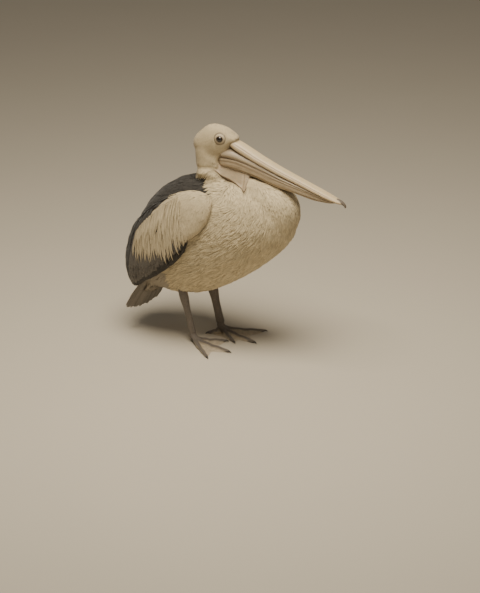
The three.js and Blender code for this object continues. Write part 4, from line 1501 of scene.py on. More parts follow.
class Body:
    """The head, neck, trunk and thighs under the coat, and the wings' own surfaces.

    Attributes:
        form: Everything but the wings.
        wings: Both folded wings.
    """

    DEPTHS = {"head": 2.6, "neck_upper": 4.0, "neck_lower": 5.0, "trunk": 4.2, "thigh_right": 3.5,
        "thigh_left": 3.5}
    WING_DEPTHS = {"wing_coverts_right": 3.6, "wing_flight_right": 4.0, "wing_coverts_left": 3.6,
        "wing_flight_left": 4.0}
    VOXEL, WING_VOXEL = 4.35, 4.7
    VENT = Loft(((-105, 0, 230), (-165, 0, 184), (-204, 0, 142), (-224, 0, 112)),
        ((0, 52, 30, 30), (74, 50, 24, 24), (116, 47, 13, 13), (136, 46, 9, 9), (168, 44, 6, 6)),
        across=(math.sin(math.radians(20)), math.cos(math.radians(20)), 0))

    def __init__(self) -> None:
        """Makes the surfaces and their markings."""
        self.eyes = [Eye(side) for side in SIDES]
        extra = node_shell("eye_right"), node_shell("eye_left"), self.VENT.shell(40, 30)
        self.form = Form(self.DEPTHS, BODY_LIE, BODY_PUSH, self.VOXEL, *extra)
        self.wings = Form(self.WING_DEPTHS, WING_LIE, WING_PUSH, self.WING_VOXEL)
        self._fold_collar()
        self.bill, self.pouch = Bill(), ThroatPouch()
        self.pouch_shell = self.pouch.shell(self.form.tree)
        self._part_round_eyes()
        self._mark()

    def _fold_collar(self) -> None:
        """Folds the neck into the shoulders: full below the collar, drawn in above it."""
        form, p = self.form, self.form.shell.points
        form.above = form.beyond(COLLAR)
        here = (1 - ramp(p[:, 0], 15, 45)) * (1 - ramp(np.abs(p[:, 1]), 60, 90)) * ramp(p[:, 0], -62, -36)
        swell = here * (5.2 * bump(form.above, -10, 9) - 3.5 * bump(form.above, 5, 5))
        form.shell.points = p + swell[:, None] * form.normals
        form.normals, form.tree = form.shell.normals(), form.shell.tree()

    def _part_round_eyes(self) -> None:
        """Turns the coat aside round each eye and shortens it there."""
        form = self.form
        way = form.flow.copy()
        for eye in self.eyes:
            radius, turn, depth = eye.polar(form.shell.points)
            _, ahead, up = eye.axes()
            near = (1 - ramp(radius, eye.ring, eye.ring + 15)) * (depth > -5)
            c, s = np.cos(turn)[:, None], np.sin(turn)[:, None]
            aside = unit(0.5 * (c * ahead + s * up) + np.sign(s) * (s * -ahead + c * up))
            way = way * (1 - near)[:, None] + aside * near[:, None]
            form.length = form.length * (1 - 0.4 * near)
        form.flow = form.settle(way)

    def _mark(self) -> None:
        """Works out where the coat is black, and how far the bare parts are from each point, in mm."""
        form, wings = self.form, self.wings
        p, q = form.shell.points, wings.shell.points
        behind_neck = -46 + 1.1 * np.abs(p[:, 1]) - p[:, 0]
        back = np.minimum(np.minimum(form.beyond(BACK_LINE), behind_neck), NAPE_TOP - p[:, 2])
        rump = np.interp(p[:, 2], *np.array(RUMP_LINE, float).T) - p[:, 0] - 0.36 * np.maximum(-p[:, 1], 0)
        form.dark = np.maximum(back, np.minimum(rump, RUMP_TOP - p[:, 2]))
        inward = wings.normals[:, 1] * np.sign(q[:, 1]) - np.interp(q[:, 0], (-190, -110), (0.35, -0.55))
        panel = np.minimum(-wings.beyond(PANEL_TOP), wings.beyond(PANEL_BASE))
        wings.dark = -np.minimum(panel, inward * 50)
        for shell in (self.bill.upper.shell(40, 60), self.bill.lower.shell(40, 60), self.pouch_shell):
            tree = shell.tree()
            for i in np.flatnonzero((p[:, 0] > -20) & (p[:, 2] > 470)):
                place, normal, _, gap = tree.find_nearest(Vector(p[i]))
                inside = gap < 12 and (Vector(p[i]) - place).dot(normal) < 0
                form.bare[i] = min(form.bare[i], -gap if inside else gap)
        form.bare -= 0.6
        for eye in self.eyes:
            radius, _, depth = eye.polar(p)
            form.bare = np.minimum(form.bare, np.where(depth > -5, radius - eye.ring + 0.4, FAR))

    def build_skin(self) -> "SkinMap":
        """Makes the one skin: feathered body and wings, bare rings, pouch, legs and webs.

        Returns:
            The map of the skin, for the coat's roots.
        """
        finishes = (Finishes.WHITE_SKIN, Finishes.BLACK_SKIN, Finishes.LID, Finishes.POUCH, Finishes.LEG,
            Finishes.VENT_SKIN)
        number = finishes.index
        parts = []
        for form in (self.form, self.wings):
            inner = Shell(form.shell.points - 0.5 * form.normals, form.shell.tris)
            dark = form.dark[inner.tris].mean(1) > 0
            inner.finish = np.where(dark, number(Finishes.BLACK_SKIN), number(Finishes.WHITE_SKIN))
            parts.append(inner)
        inner = parts[0]
        for eye in self.eyes:
            radius, _, depth = eye.polar(inner.points)
            sink = (1 - ramp(radius, eye.ring - 3.5, eye.ring + 0.5)) * (depth > 0)
            inner.points = inner.points - (5.0 * sink)[:, None] * eye.axes()[0]
        white = inner.finish == number(Finishes.WHITE_SKIN)
        # painted shadow: the white skin under the vent takes a dark colour
        vent = white & (inner.points[inner.tris, 0].mean(1) < VENT_FRONT)
        inner.finish[vent] = number(Finishes.VENT_SKIN)
        rings = [(eye.ring_shell(self.form.tree), Finishes.LID) for eye in self.eyes]
        legs = [(leg.skin_shell(), Finishes.LEG) for leg in LEGS]
        for shell, finish in (*rings, (self.pouch_shell, Finishes.POUCH), *legs):
            shell.finish = np.full(len(shell.tris), number(finish))
            parts.append(shell)
        whole = Shell.join(parts)
        piece = whole.object("skin", [finish.material() for finish in finishes])
        skin_map = SkinMap(piece, whole)
        limbs = [f"{part}_{name}" for part in ("shank", "foot") for name in SIDES.values()]
        attach(piece, "white_plumage", *self.DEPTHS, *self.WING_DEPTHS, "tail", "throat_pouch", *limbs)
        return skin_map


class SkinMap:
    """The unwrap of the skin, which says where each feather's patch lies on the coat's map."""

    PATCH = 0.003

    def __init__(self, piece: Thing, shell: Shell) -> None:
        """Unwraps the skin.

        Args:
            piece: The skin.
            shell: Its surface.
        """
        self.piece = piece
        layer = piece.data.uv_layers.new(name="OFBake")
        piece.data.uv_layers.active = layer
        bpy.context.view_layer.objects.active = piece
        piece.select_set(True)
        bpy.ops.object.mode_set(mode="EDIT")
        bpy.ops.mesh.select_all(action="SELECT")
        bpy.ops.uv.smart_project(angle_limit=math.radians(66), island_margin=0.002)
        bpy.ops.object.mode_set(mode="OBJECT")
        piece.select_set(False)
        flat = np.empty(len(piece.data.loops) * 2, np.float32)
        piece.data.uv_layers["OFBake"].data.foreach_get("uv", flat)
        self.uv = flat.reshape(-1, 3, 2)
        self.shell = shell
        self.tree = shell.tree()

    def at(self, points: Array) -> Array:
        """Returns where points near the skin lie on its map."""
        places = np.empty((len(points), 2))
        for i, point in enumerate(points):
            place, _, number, _ = self.tree.find_nearest(Vector(point))
            a, b, c = self.shell.points[self.shell.tris[number]]
            whole = np.linalg.norm(np.cross(b - a, c - a)) + 1e-12
            p = np.array(place)
            wa = np.linalg.norm(np.cross(b - p, c - p)) / whole
            wb = np.linalg.norm(np.cross(c - p, a - p)) / whole
            wc = max(0.0, 1 - wa - wb)
            places[i] = wa * self.uv[number, 0] + wb * self.uv[number, 1] + wc * self.uv[number, 2]
        return places

    def patch(self, piece: Thing, shell: Shell, count: int, size: int, roots: Array | None = None) -> None:
        """Gives a coat piece its map: each tuft is a small patch at its root's place.

        Args:
            piece: The coat piece.
            shell: Its surface, whose tufts follow one another with as many points each.
            count: How many tufts.
            size: How many points each tuft has.
            roots: Where each tuft's root is; the tuft's middle when not given.
        """
        if roots is None:
            roots = shell.points[: count * size].reshape(count, size, 3).mean(1)
        centre = self.at(roots)[shell.tris[:, 0] // size]
        uv = centre[:, None] + self.PATCH * (shell.uv - 0.5)
        piece.data.uv_layers.new(name="OFBake").data.foreach_set("uv", uv.astype(np.float32).ravel())


# -------- the coat


class Shape(Enum):
    """Outlines of small feathers: rows of distance along and half width."""

    DOWN = ((0.0, 0.0), (0.16, 0.34), (0.5, 0.5), (0.82, 0.3), (1.0, 0.0))
    STRAND = ((0.0, 0.0), (0.14, 0.34), (0.42, 0.5), (0.72, 0.36), (0.9, 0.14), (1.0, 0.0))
    ROUND = ((0.0, 0.0), (0.14, 0.38), (0.42, 0.5), (0.72, 0.47), (0.92, 0.27), (1.0, 0.0))
    LANCE = ((0.0, 0.0), (0.12, 0.36), (0.4, 0.5), (0.7, 0.4), (0.88, 0.2), (1.0, 0.0))

    def variants(self) -> bpy.types.Collection:
        """Returns three closed thin vanes of this outline, one unit long, that bend differently."""
        folder = bpy.data.collections.get(self.name) or bpy.data.collections.new(self.name)
        if len(folder.objects):
            return folder
        for number, bend in enumerate((-0.16, 0.03, 0.18)):
            across = lambda y, half: [(side * half + bend * y * y, y, 0) for side in (-1, 1, 0)]
            rows = [across(*row) for row in self.value[1:-1]]
            shell = strip_shell(np.array(rows, float), np.zeros(3), np.array([bend, 1.0, 0]))
            crest = np.array([0.0, 0.0, 1.0] * len(rows) + [0.3, 0.0])
            shell.marks = {"crest": crest, "along": shell.points[:, 1].copy()}
            raised = shell.points + crest[:, None] * [0, 0, 0.05]
            a, b, c = (raised[shell.tris[:, k]] for k in range(3))
            if np.einsum("ij,ij->i", a - raised.mean(0), np.cross(b - a, c - a)).sum() < 0:
                shell.tris = shell.tris[:, ::-1]
            shell.uv = shell.points[shell.tris][..., :2] + [0.5, 0]
            mesh = shell.mesh(f"{self.name}_{number}", raised, "vane")
            sharpen(mesh, crest < 0.1)
            folder.objects.link(bpy.data.objects.new(mesh.name, mesh))
        return folder


@dataclass(frozen=True)
class Coat:
    """One stretch of small feathers, in mm.

    Attributes:
        spacing: The least distance between two roots.
        width: A feather's width as a share of its length.
        lift: How far the tips stand off the skin.
        base: How far the roots lie off the skin.
        crest: How much a feather's middle is raised.
        yaw: How far a feather may turn from the lie, in degrees.
        reach: How long its feathers are beside the lie's own length.
    """

    name: str
    shape: Shape
    finish: Finishes
    spacing: float
    width: float
    lift: float
    base: float = 0.3
    crest: float = 0.5
    yaw: float = 9.0
    reach: float = 1.0
    slot: str = "white_plumage"
    seed: int = 1


class CoatTree:
    """The node tree that sets feathers on a stretch of skin and lays them along it."""

    INPUTS = {
        "Geometry": ("Geometry",),
        "Object": ("Ground", "Skin"),
        "Collection": ("Vanes",),
        "Material": ("Finish",),
        "Int": ("Seed",),
        "Float": ("Spacing", "Width", "Lift", "Base", "Crest", "Yaw", "Patch"),
    }
    WAY = "FLOAT_VECTOR"

    def __init__(self) -> None:
        """Builds the tree."""
        self.tree = bpy.data.node_groups.new("coat", "GeometryNodeTree")
        face = self.tree.interface
        face.new_socket("Geometry", in_out="OUTPUT", socket_type="NodeSocketGeometry")
        for kind, names in self.INPUTS.items():
            for name in names:
                face.new_socket(name, in_out="INPUT", socket_type=f"NodeSocket{kind}")
        self.s = Sketch(self.tree)
        self.given = self.s.add("NodeGroupInput").outputs
        self.s.add("NodeGroupOutput", {"Geometry": self._lay(self._set(self._scatter()))})

    def _read(self, name: str, kind: str = "FLOAT") -> Socket:
        """Returns a named mark."""
        feeds = {"Name": name}
        return self.s.out("GeometryNodeInputNamedAttribute", feeds, take="Attribute", data_type=kind)

    def _store(self, geometry: Socket, name: str, value: Socket, kind: str = "FLOAT",
            domain: str = "POINT") -> Socket:
        """Returns the geometry with a named mark stored on it."""
        feeds = {"Geometry": geometry, "Name": name, "Value": value}
        return self.s.out("GeometryNodeStoreNamedAttribute", feeds, data_type=kind, domain=domain)

    def _random(self, low: object, high: object, shift: int, kind: str = "FLOAT") -> Socket:
        """Returns a random number for each feather."""
        feeds = {"Min": low, "Max": high, "Seed": self.s.math("ADD", self.given["Seed"], float(shift))}
        return self.s.out("FunctionNodeRandomValue", feeds, data_type=kind)

    def _surface(self, name: str) -> Socket:
        """Returns the surface of an object that the tree is given."""
        feeds = {"Object": self.given[name]}
        return self.s.out("GeometryNodeObjectInfo", feeds, take="Geometry", transform_space="RELATIVE")

    def _near(self, ground: Socket, value: Socket) -> Socket:
        """Returns a value read at the nearest point of a surface."""
        feeds = {"Mesh": ground, "Value": value, "Sample Position": self.s.out("GeometryNodeInputPosition")}
        return self.s.out("GeometryNodeSampleNearestSurface", feeds, data_type=self.WAY)

    def _scatter(self) -> Socket:
        """Returns the feathers' roots, with the root's place on the skin's map."""
        s, given = self.s, self.given
        feeds = {
            "Mesh": given["Geometry"],
            "Distance Min": given["Spacing"],
            "Density Max": s.math("DIVIDE", 3.0, s.times(given["Spacing"], given["Spacing"])),
            "Density Factor": self._read("thick"),
            "Seed": given["Seed"],
        }
        points = s.out("GeometryNodeDistributePointsOnFaces", feeds, distribute_method="POISSON")
        feeds = {"A": self._read("clear"), "B": 0.0}
        outside = s.out("FunctionNodeCompare", feeds, data_type="FLOAT", operation="LESS_THAN")
        points = s.out("GeometryNodeDeleteGeometry", {"Geometry": points, "Selection": outside},
            domain="POINT")
        root = self._near(self._surface("Skin"), self._read("OFBake", self.WAY))
        points = self._store(points, "root_place", root, self.WAY)
        points = self._store(points, "tone", self._random(0.0, 1.0, 11))
        return self._store(points, "layer", self._random(0.0, 1.0, 12))

    def _set(self, points: Socket) -> Socket:
        """Returns the feathers set on their roots, turned along the lie, as real mesh."""
        s, given = self.s, self.given
        feeds = {"Primary Axis": self._read("upright", self.WAY),
            "Secondary Axis": self._read("flow", self.WAY)}
        lie = s.out("FunctionNodeAxesToRotation", feeds, primary_axis="Z", secondary_axis="Y")
        yaw = self._random(s.times(given["Yaw"], -1.0), given["Yaw"], 13)
        turn = s.out("FunctionNodeEulerToRotation", {"Euler": s.out("ShaderNodeCombineXYZ", {"Z": yaw})})
        rotation = s.out("FunctionNodeRotateRotation", {"Rotation": lie, "Rotate By": turn},
            rotation_space="LOCAL")
        size = s.times(self._read("plume"), self._random(0.82, 1.22, 14))
        wide = s.times(size, s.times(given["Width"], self._random(0.85, 1.15, 15)))
        feeds = {"Collection": given["Vanes"], "Separate Children": True, "Reset Children": True}
        feeds = {
            "Points": points,
            "Instance": s.out("GeometryNodeCollectionInfo", feeds),
            "Pick Instance": True,
            "Instance Index": self._random(0, 2, 16, "INT"),
            "Rotation": rotation,
            "Scale": s.out("ShaderNodeCombineXYZ", {"X": wide, "Y": size, "Z": size}),
        }
        return s.out("GeometryNodeRealizeInstances",
            {"Geometry": s.out("GeometryNodeInstanceOnPoints", feeds)})

    def _lay(self, feathers: Socket) -> Socket:
        """Returns the feathers bent along the skin, each lying over the roots of those behind it."""
        s, given = self.s, self.given
        ground, layer = self._surface("Ground"), self._read("layer")
        place = self._near(ground, s.out("GeometryNodeInputPosition"))
        upright = s.vector("NORMALIZE", self._near(ground, self._read("upright", self.WAY)))
        lift = s.times(given["Lift"], s.math("MULTIPLY_ADD", layer, 0.9, 0.55))
        height = s.math("ADD", given["Base"], s.times(s.math("POWER", self._read("along"), 1.4), lift))
        height = s.math("ADD", height, s.times(self._read("crest"), given["Crest"]))
        height = s.math("ADD", height, s.times(layer, s.times(given["Crest"], 0.8)))
        target = s.vector("ADD", place, s.vector("SCALE", upright, height))
        laid = s.out("GeometryNodeSetPosition", {"Geometry": feathers, "Position": target})
        centred = s.vector("SUBTRACT", self._read("vane", self.WAY), (0.5, 0.5, 0.0))
        small = s.vector("SCALE", centred, given["Patch"])
        own = s.vector("ADD", self._read("root_place", self.WAY), small)
        laid = self._store(laid, "OFBake", own, "FLOAT2", "CORNER")
        return s.out("GeometryNodeSetMaterial", {"Geometry": laid, "Material": given["Finish"]})

    def grow(self, coat: Coat, form: Form, clear: Array, ground: Thing, skin: Thing) -> None:
        """Makes one stretch of the coat.

        Args:
            coat: What it is.
            form: The surface it grows on.
            clear: For each point of the form, how far it is inside the stretch, in mm.
            ground: The form as an object, to lay the feathers on.
            skin: The skin, for its map.
        """
        shell = form.shell
        kept = (clear[shell.tris] > -1.0).any(1)
        used, tris = np.unique(shell.tris[kept], return_inverse=True)
        least = np.percentile(form.length[used[clear[used] > 0]], 4)
        marks = {
            "clear": clear[used],
            "thick": np.clip(least / form.length[used], 0, 1) ** 0.9,
            "plume": form.length[used] * coat.reach * MM,
            "flow": form.flow[used],
            "upright": form.normals[used],
        }
        thing = Shell(shell.points[used], tris.reshape(-1, 3), marks=marks).object(coat.name)
        modifier = thing.modifiers.new("coat", "NODES")
        modifier.node_group = self.tree
        given = {
            "Ground": ground,
            "Skin": skin,
            "Vanes": coat.shape.variants(),
            "Finish": coat.finish.material(),
            "Seed": coat.seed,
            "Spacing": coat.spacing * MM,
            "Width": coat.width,
            "Lift": coat.lift * MM,
            "Base": coat.base * MM,
            "Crest": coat.crest * MM,
            "Yaw": math.radians(coat.yaw),
            "Patch": SkinMap.PATCH,
        }
        sockets = {item.name: item.identifier for item in self.tree.interface.items_tree
            if item.in_out == "INPUT"}
        for name, value in given.items():
            modifier[sockets[name]] = value
        thing.data = plain_mesh(thing)
        spent = {*marks, "layer", "crest", "root_place"}
        for name in [a.name for a in thing.data.attributes if a.name in spent]:
            thing.data.attributes.remove(thing.data.attributes[name])
        thing.data.name = coat.name
        attach(thing, coat.slot)


class Plumage:
    """All the small feathers."""

    def __init__(self, body: Body, skin_map: SkinMap) -> None:
        """Makes ready to grow a coat on the body, rooted on the skin's map."""
        self.body, self.skin = body, skin_map.piece
        self.tree = CoatTree()

    def build(self) -> None:
        """Grows every stretch."""
        form, wings, least = self.body.form, self.body.wings, lambda *limits: np.min(limits, axis=0)
        x, z = form.shell.points[:, 0], form.shell.points[:, 2]
        down, low = (least(form.bare, -form.dark, limit) for limit in (form.above - 3, -1 - form.above))
        band = lambda low, high: least(form.length - low, high - form.length) * 3
        strand, long = Shape.STRAND, band(27, 90)
        face = dict(base=0.1, crest=0.16, yaw=10, reach=1.3, seed=3)
        nape = dict(base=0.15, crest=0.2, yaw=10, reach=1.3, seed=5)
        black = dict(slot="black_plumage", yaw=6)
        neck = dict(crest=0.6, reach=1.2, seed=7)
        breast = dict(crest=1.1, reach=1.4, seed=9)
        belly = dict(crest=1.1, reach=1.4, seed=11)
        vent = dict(crest=0.7, yaw=8, reach=1.2, seed=12)
        back = dict(base=0.6, crest=0.3, seed=13, **black)
        self._grow(
            form,
            (Coat("down_face", Shape.DOWN, Finishes.WHITE_DOWN, 1.25, 0.32, 0.5, **face),
                least(down, band(0, 9.6))),
            (Coat("down_nape", Shape.DOWN, Finishes.WHITE_DOWN, 1.7, 0.25, 0.8, **nape),
                least(down, band(9.4, 25))),
            (Coat("plumage_neck", strand, Finishes.WHITE_VANE, 3.0, 0.2, 1.8, **neck),
                least(low, band(10, 27.5))),
            (Coat("plumage_breast", strand, Finishes.WHITE_VANE, 3.7, 0.15, 2.9, **breast),
                least(low, long, x - 40)),
            (Coat("plumage_belly", strand, Finishes.WHITE_VANE, 4.2, 0.15, 3.2, **belly),
                least(low, long, 41 - x, x - VENT_FRONT)),
            # the vent's coat: grey-brown painted shade, with some dirt
            (Coat("plumage_vent", strand, Finishes.VENT_VANE, 4.6, 0.16, 2.0, **vent),
                least(low, long, VENT_FRONT - x, z - VENT_END)),
            (Coat("plumage_back", Shape.LANCE, Finishes.BLACK_VANE, 5.0, 0.22, 1.5, **back),
                least(form.bare, form.dark)),
        )
        panel, size = least(-wings.dark, wings.bare), (wings.length - 27) * 3
        small = dict(crest=0.15, yaw=7, reach=1.1, seed=15)
        middle = dict(base=0.4, yaw=6, seed=17)
        under = dict(crest=0.3, seed=19, **black)
        self._grow(
            wings,
            (Coat("coverts_small", Shape.ROUND, Finishes.WHITE_COVERT, 2.8, 0.32, 0.7, **small),
                least(panel, -size)),
            (Coat("coverts_middle", Shape.LANCE, Finishes.WHITE_COVERT, 4.0, 0.14, 1.6, **middle),
                least(panel, size)),
            (Coat("coverts_black", Shape.LANCE, Finishes.BLACK_VANE, 6.0, 0.2, 1.6, **under),
                least(wings.dark, wings.bare)),
        )

    def _grow(self, form: Form, *stretches: tuple[Coat, Array]) -> None:
        """Grows the stretches of one form, each with how far the form's points are inside it."""
        ground = Shell(form.shell.points, form.shell.tris, marks={"upright": form.normals}).object("ground")
        for coat, clear in stretches:
            self.tree.grow(coat, form, clear, ground, self.skin)
        bpy.data.objects.remove(ground)


# -------- long feathers


class Vane(Enum):
    """Outlines of long feathers: rows of distance along and half width."""

    PLUME = ((0.0, 0.3), (0.15, 0.8), (0.38, 1.0), (0.6, 0.84), (0.78, 0.5), (0.92, 0.2), (1.0, 0.0))
    FLIGHT = ((0.0, 0.35), (0.2, 0.8), (0.5, 1.0), (0.8, 0.95), (0.94, 0.6), (1.0, 0.0))
    TAIL = ((0.0, 0.3), (0.2, 0.75), (0.6, 1.0), (0.86, 1.0), (0.93, 0.88), (0.966, 0.68), (0.99, 0.38),
        (1.0, 0.0))


@dataclass(frozen=True)
class Quill:
    """One long feather: where it starts, which way it goes, and its sizes in mm.

    Attributes:
        base: How far its root lies off the surface.
        lift: How much further its tip does.
        lean: How much wider its right half is than its left, from -0.5 to 0.5.
        curl: How far it turns along its length, in degrees.
    """

    root: Point
    way: Point
    length: float
    width: float
    base: float = 1.0
    lift: float = 3.0
    lean: float = 0.0
    curl: float = 0.0


class Quills:
    """Long feathers laid one by one, each a closed thin vane with a raised quill."""

    ACROSS = np.array([-1.0, -0.5, 0.0, 0.5, 1.0, 0.0])
    TOP = np.array([0.0, 0.0, 1.0, 0.0, 0.0, -1.0])
    STEPS = 13
    RAGGED = 0.16  # how deep the rim's notches may be, as a share of the half width
    CAMBER, HALF_THICKNESS = -0.1, 0.32

    def __init__(self, skin_map: SkinMap, seed: int) -> None:
        """Starts a set of feathers rooted on the skin's map, with its own random seed."""
        self.skin_map, self.random = skin_map, np.random.default_rng(seed)

    def follow(self, quill: Quill, tree: BVHTree) -> tuple[Array, Array]:
        """Returns a feather's middle line on a surface, and the outward direction along it.

        Args:
            quill: The feather.
            tree: The surface that it lies on; past its edge the feather goes straight on.
        """
        place, normal, _, _ = tree.find_nearest(Vector(quill.root))
        step = quill.length / self.STEPS
        way = Vector(quill.way).normalized()
        line, up = [np.array(place)], [np.array(normal)]
        turn = math.radians(quill.curl) / self.STEPS
        for _ in range(self.STEPS):
            way = way + normal.cross(way) * turn
            way = (way - way.dot(normal) * normal).normalized()
            ahead = place + way * step
            near, turned, _, gap = tree.find_nearest(ahead)
            if gap < 0.5 * step + 2 and turned.dot(normal) > 0.5:
                way = (near - place).normalized()
                place, normal = near, (normal * 0.5 + turned * 0.5).normalized()
            else:
                place = ahead
            line.append(np.array(place))
            up.append(np.array(normal))
        return np.array(line), unit(np.array(up))

    def vane(self, line: Array, up: Array, quill: Quill, outline: Vane) -> Shell:
        """Returns one feather along a line.

        Args:
            line: Its middle on the surface.
            up: The outward direction along it.
            quill: Its sizes.
            outline: Its shape.
        """
        share = np.concatenate([[0.0], np.cumsum(np.linalg.norm(np.diff(line, axis=0), axis=1))])
        share = share / share[-1]
        half = np.maximum(np.interp(share, *np.array(outline.value).T) * quill.width / 2, 0.05)
        side = unit(np.cross(unit(np.gradient(line, axis=0)), up))
        middle = line + up * (quill.base + quill.lift * share**1.5)[:, None]
        rim = np.abs(self.ACROSS) > 0.9
        notch = 1 - self.RAGGED * self.random.random((len(line), 6)) * rim * (share[:, None] > 0.3)
        across = half[:, None] * self.ACROSS * (1 + quill.lean * np.sign(self.ACROSS)) * notch
        camber = self.CAMBER * across**2 / np.maximum(half[:, None], 1) + self.HALF_THICKNESS * self.TOP
        rows = middle[:, None] + across[..., None] * side[:, None] + camber[..., None] * up[:, None]
        shell = strip_shell(rows[:-1], rows[0].mean(0), middle[-1])
        along = np.concatenate([np.repeat(share[:-1], 6), [0.0, 1.0]])
        sideways = np.concatenate([np.tile(self.ACROSS, len(line) - 1), [0.0, 0.0]]) / 2 + 0.5
        shell.uv = np.stack([sideways[shell.tris], along[shell.tris]], -1)
        shell.marks = {"along": along, "tone": np.full(len(shell.points), self.random.random())}
        return shell

    def piece(self, name: str, vanes: list[Shell], finish: Finishes, slot: str) -> None:
        """Joins feathers into one piece.

        Args:
            name: The piece's name.
            vanes: The feathers.
            finish: Their finish.
            slot: The record's material slot.
        """
        whole, size = Shell.join(vanes), len(vanes[0].points)
        thing = whole.object(name, [finish.material()], "vane")
        rim = np.append(np.tile(np.abs(self.ACROSS) > 0.9, self.STEPS), [False, False])
        sharpen(thing.data, np.tile(rim, len(vanes)))
        roots = whole.points.reshape(len(vanes), size, 3)[:, :6].mean(1)
        self.skin_map.patch(thing, whole, len(vanes), size, roots)
        attach(thing, slot)


@dataclass(frozen=True)
class WingFeathers:
    """The long feathers of one folded wing, with so many rows of white plumes."""

    # root x and z, then tip x and z, at the front and at the rear of a row; how many; width; base
    FLIGHT = (
        ((-40, 372), (-215, 300), (-52, 340), (-268, 158), 17, 23.0, 0.6),
        ((-48, 366), (-222, 318), (-66, 320), (-264, 188), 15, 19.0, 1.2),
        ((-62, 366), (-226, 322), (-84, 320), (-258, 212), 14, 16.0, 1.8),
    )

    side: int
    rows: int = 6

    def _root(self, tree: BVHTree, x: float, z: float) -> Point:
        """Returns the wing's outer surface at x and z."""
        hit = tree.ray_cast(Vector((x, self.side * 170.0, z)), Vector((0, -self.side, 0)))[0]
        if hit is None:
            hit = tree.find_nearest(Vector((x, self.side * 110.0, z)))[0]
        return tuple(hit)

    def build(self, body: Body, skin_map: SkinMap) -> None:
        """Makes the plumes of the white panel and the black flight feathers under them."""
        name, tree = SIDES[self.side], body.wings.tree
        quills = Quills(skin_map, 40 + self.side)
        quills.piece(f"plumes_{name}", self._plumes(quills, tree), Finishes.WHITE_PLUME, "white_plumage")
        quills.piece(f"flight_{name}", self._flight(quills, tree), Finishes.FLIGHT, "black_plumage")

    def _plumes(self, quills: Quills, tree: BVHTree) -> list[Shell]:
        """Returns the long white plumes, whose pointed tips hang over the black."""
        top, tips = np.array(PANEL_TOP, float).T, np.array(PLUME_TIPS, float).T
        random, vanes, steep = quills.random, [], 0.96
        for row in range(self.rows):
            share = row / (self.rows - 1)
            for x in np.arange(-222 + 4 * (row % 2) + 10 * share, -42 - 20 * share, 7.0 + 2.5 * share):
                x = x + random.uniform(-2.5, 2.5)
                x = x + 3.8 * (1 - 0.8 * share) * math.sin(x * 2 * math.pi / 27)
                high, low = np.interp(x, *top), np.interp(x, *tips)
                z = low + (high - low) * 0.56 * share + random.uniform(-9, 9)
                reach = np.interp(x, (-230, -150, -90, -40), (84, 92, 84, 48)) * random.uniform(0.85, 1.1)
                back = np.interp(x, (-235, -150, -50), (0.05, -0.05, -0.12)) + random.uniform(-0.04, 0.04)
                reach = min(reach, (high - 9 - z) / steep)
                if reach < 26:
                    continue
                root = self._root(tree, x - 0.5 * back * reach, z + steep * reach)
                width, base, lift = random.uniform(6.0, 9.5), 2.6 + 0.4 * row, random.uniform(0.8, 2.2)
                curl = -self.side * random.uniform(18, 34)
                quill = Quill(root, (-back - 0.22, 0, -steep), reach, width, base, lift, curl=curl)
                vanes.append(quills.vane(*quills.follow(quill, tree), quill, Vane.PLUME))
        return vanes

    def _flight(self, quills: Quills, tree: BVHTree) -> list[Shell]:
        """Returns the black feathers: two rows over the long ones that reach to the wing's tip."""
        vanes = []
        for front, rear, front_tip, rear_tip, count, width, base in self.FLIGHT:
            for k in range(count):
                share = k / (count - 1)
                bow = math.sin(math.pi * share)
                between = lambda a, b: np.array(a) * (1 - share) + np.array(b) * share
                x, z = between(front, rear) - [0, 14 * bow]
                tip_x, tip_z = between(front_tip, rear_tip) - [4 * bow, 22 * bow]
                way = np.array([tip_x - x, 0, tip_z - z])
                length = float(np.linalg.norm(way)) * quills.random.uniform(0.96, 1.06)
                wide = width * quills.random.uniform(0.92, 1.08)
                root = self._root(tree, float(x), float(z))
                quill = Quill(root, tuple(unit(way)), length, wide, base + 0.04 * k, 1.0, 0.15 * self.side)
                vanes.append(quills.vane(*quills.follow(quill, tree), quill, Vane.FLIGHT))
        return vanes


@dataclass(frozen=True)
class Tail:
    """The short fanned tail.

    Attributes:
        count: How many feathers each layer has.
        twist: How far its left edge is turned forwards, in degrees.
        root: Half its width where it starts, in mm.
        spread: Half its width at the end.
    """

    # for each layer: its side, where it starts and ends along the tail, and a feather's width
    LAYERS = ((1, 0.1, 1.0, 19.0), (-1, 0.05, 0.82, 16.0))

    count: int = 20
    twist: float = 20.0
    root: float = 48.0
    spread: float = 68.0

    def build(self, skin_map: SkinMap) -> None:
        """Makes the tail: an upper layer, and a shorter one under it."""
        quills, vanes = Quills(skin_map, 71), []
        spine = Spine(((-160, 0, 212), (-208, 0, 150), (-256, 0, 62)))
        across = np.array([math.sin(math.radians(self.twist)), math.cos(math.radians(self.twist)), 0])
        for top, start, reach, wide in self.LAYERS:
            for share in np.arange(self.count) * 2 / (self.count - 1) - 1:
                end = spine.length * reach * (1 - 0.07 * share**2) * quills.random.uniform(0.955, 1.01)
                front = spine.length * start
                d = front + (end - front) * (1 - (1 - np.linspace(0, 1, Quills.STEPS + 1)) ** 1.7)
                way = spine.way(d)
                up = unit(np.cross(way, across))
                half = self.root + (self.spread - self.root) * ramp(d, 0, spine.length * 1.05)
                fan = (share + quills.random.uniform(-0.03, 0.03)) * half
                over = top * (2.4 - 1.8 * abs(share)) - 6 * share**2
                line = spine.at(d) + fan[:, None] * across + up * over
                quill = Quill(tuple(line[0]), tuple(way[0]), float(end), wide, 0.0, 0.0,
                    0.2 * np.sign(share))
                vanes.append(quills.vane(line, up * top, quill, Vane.TAIL))
        quills.piece("tail_fan", vanes, Finishes.TAIL, "black_plumage")


# -------- studio


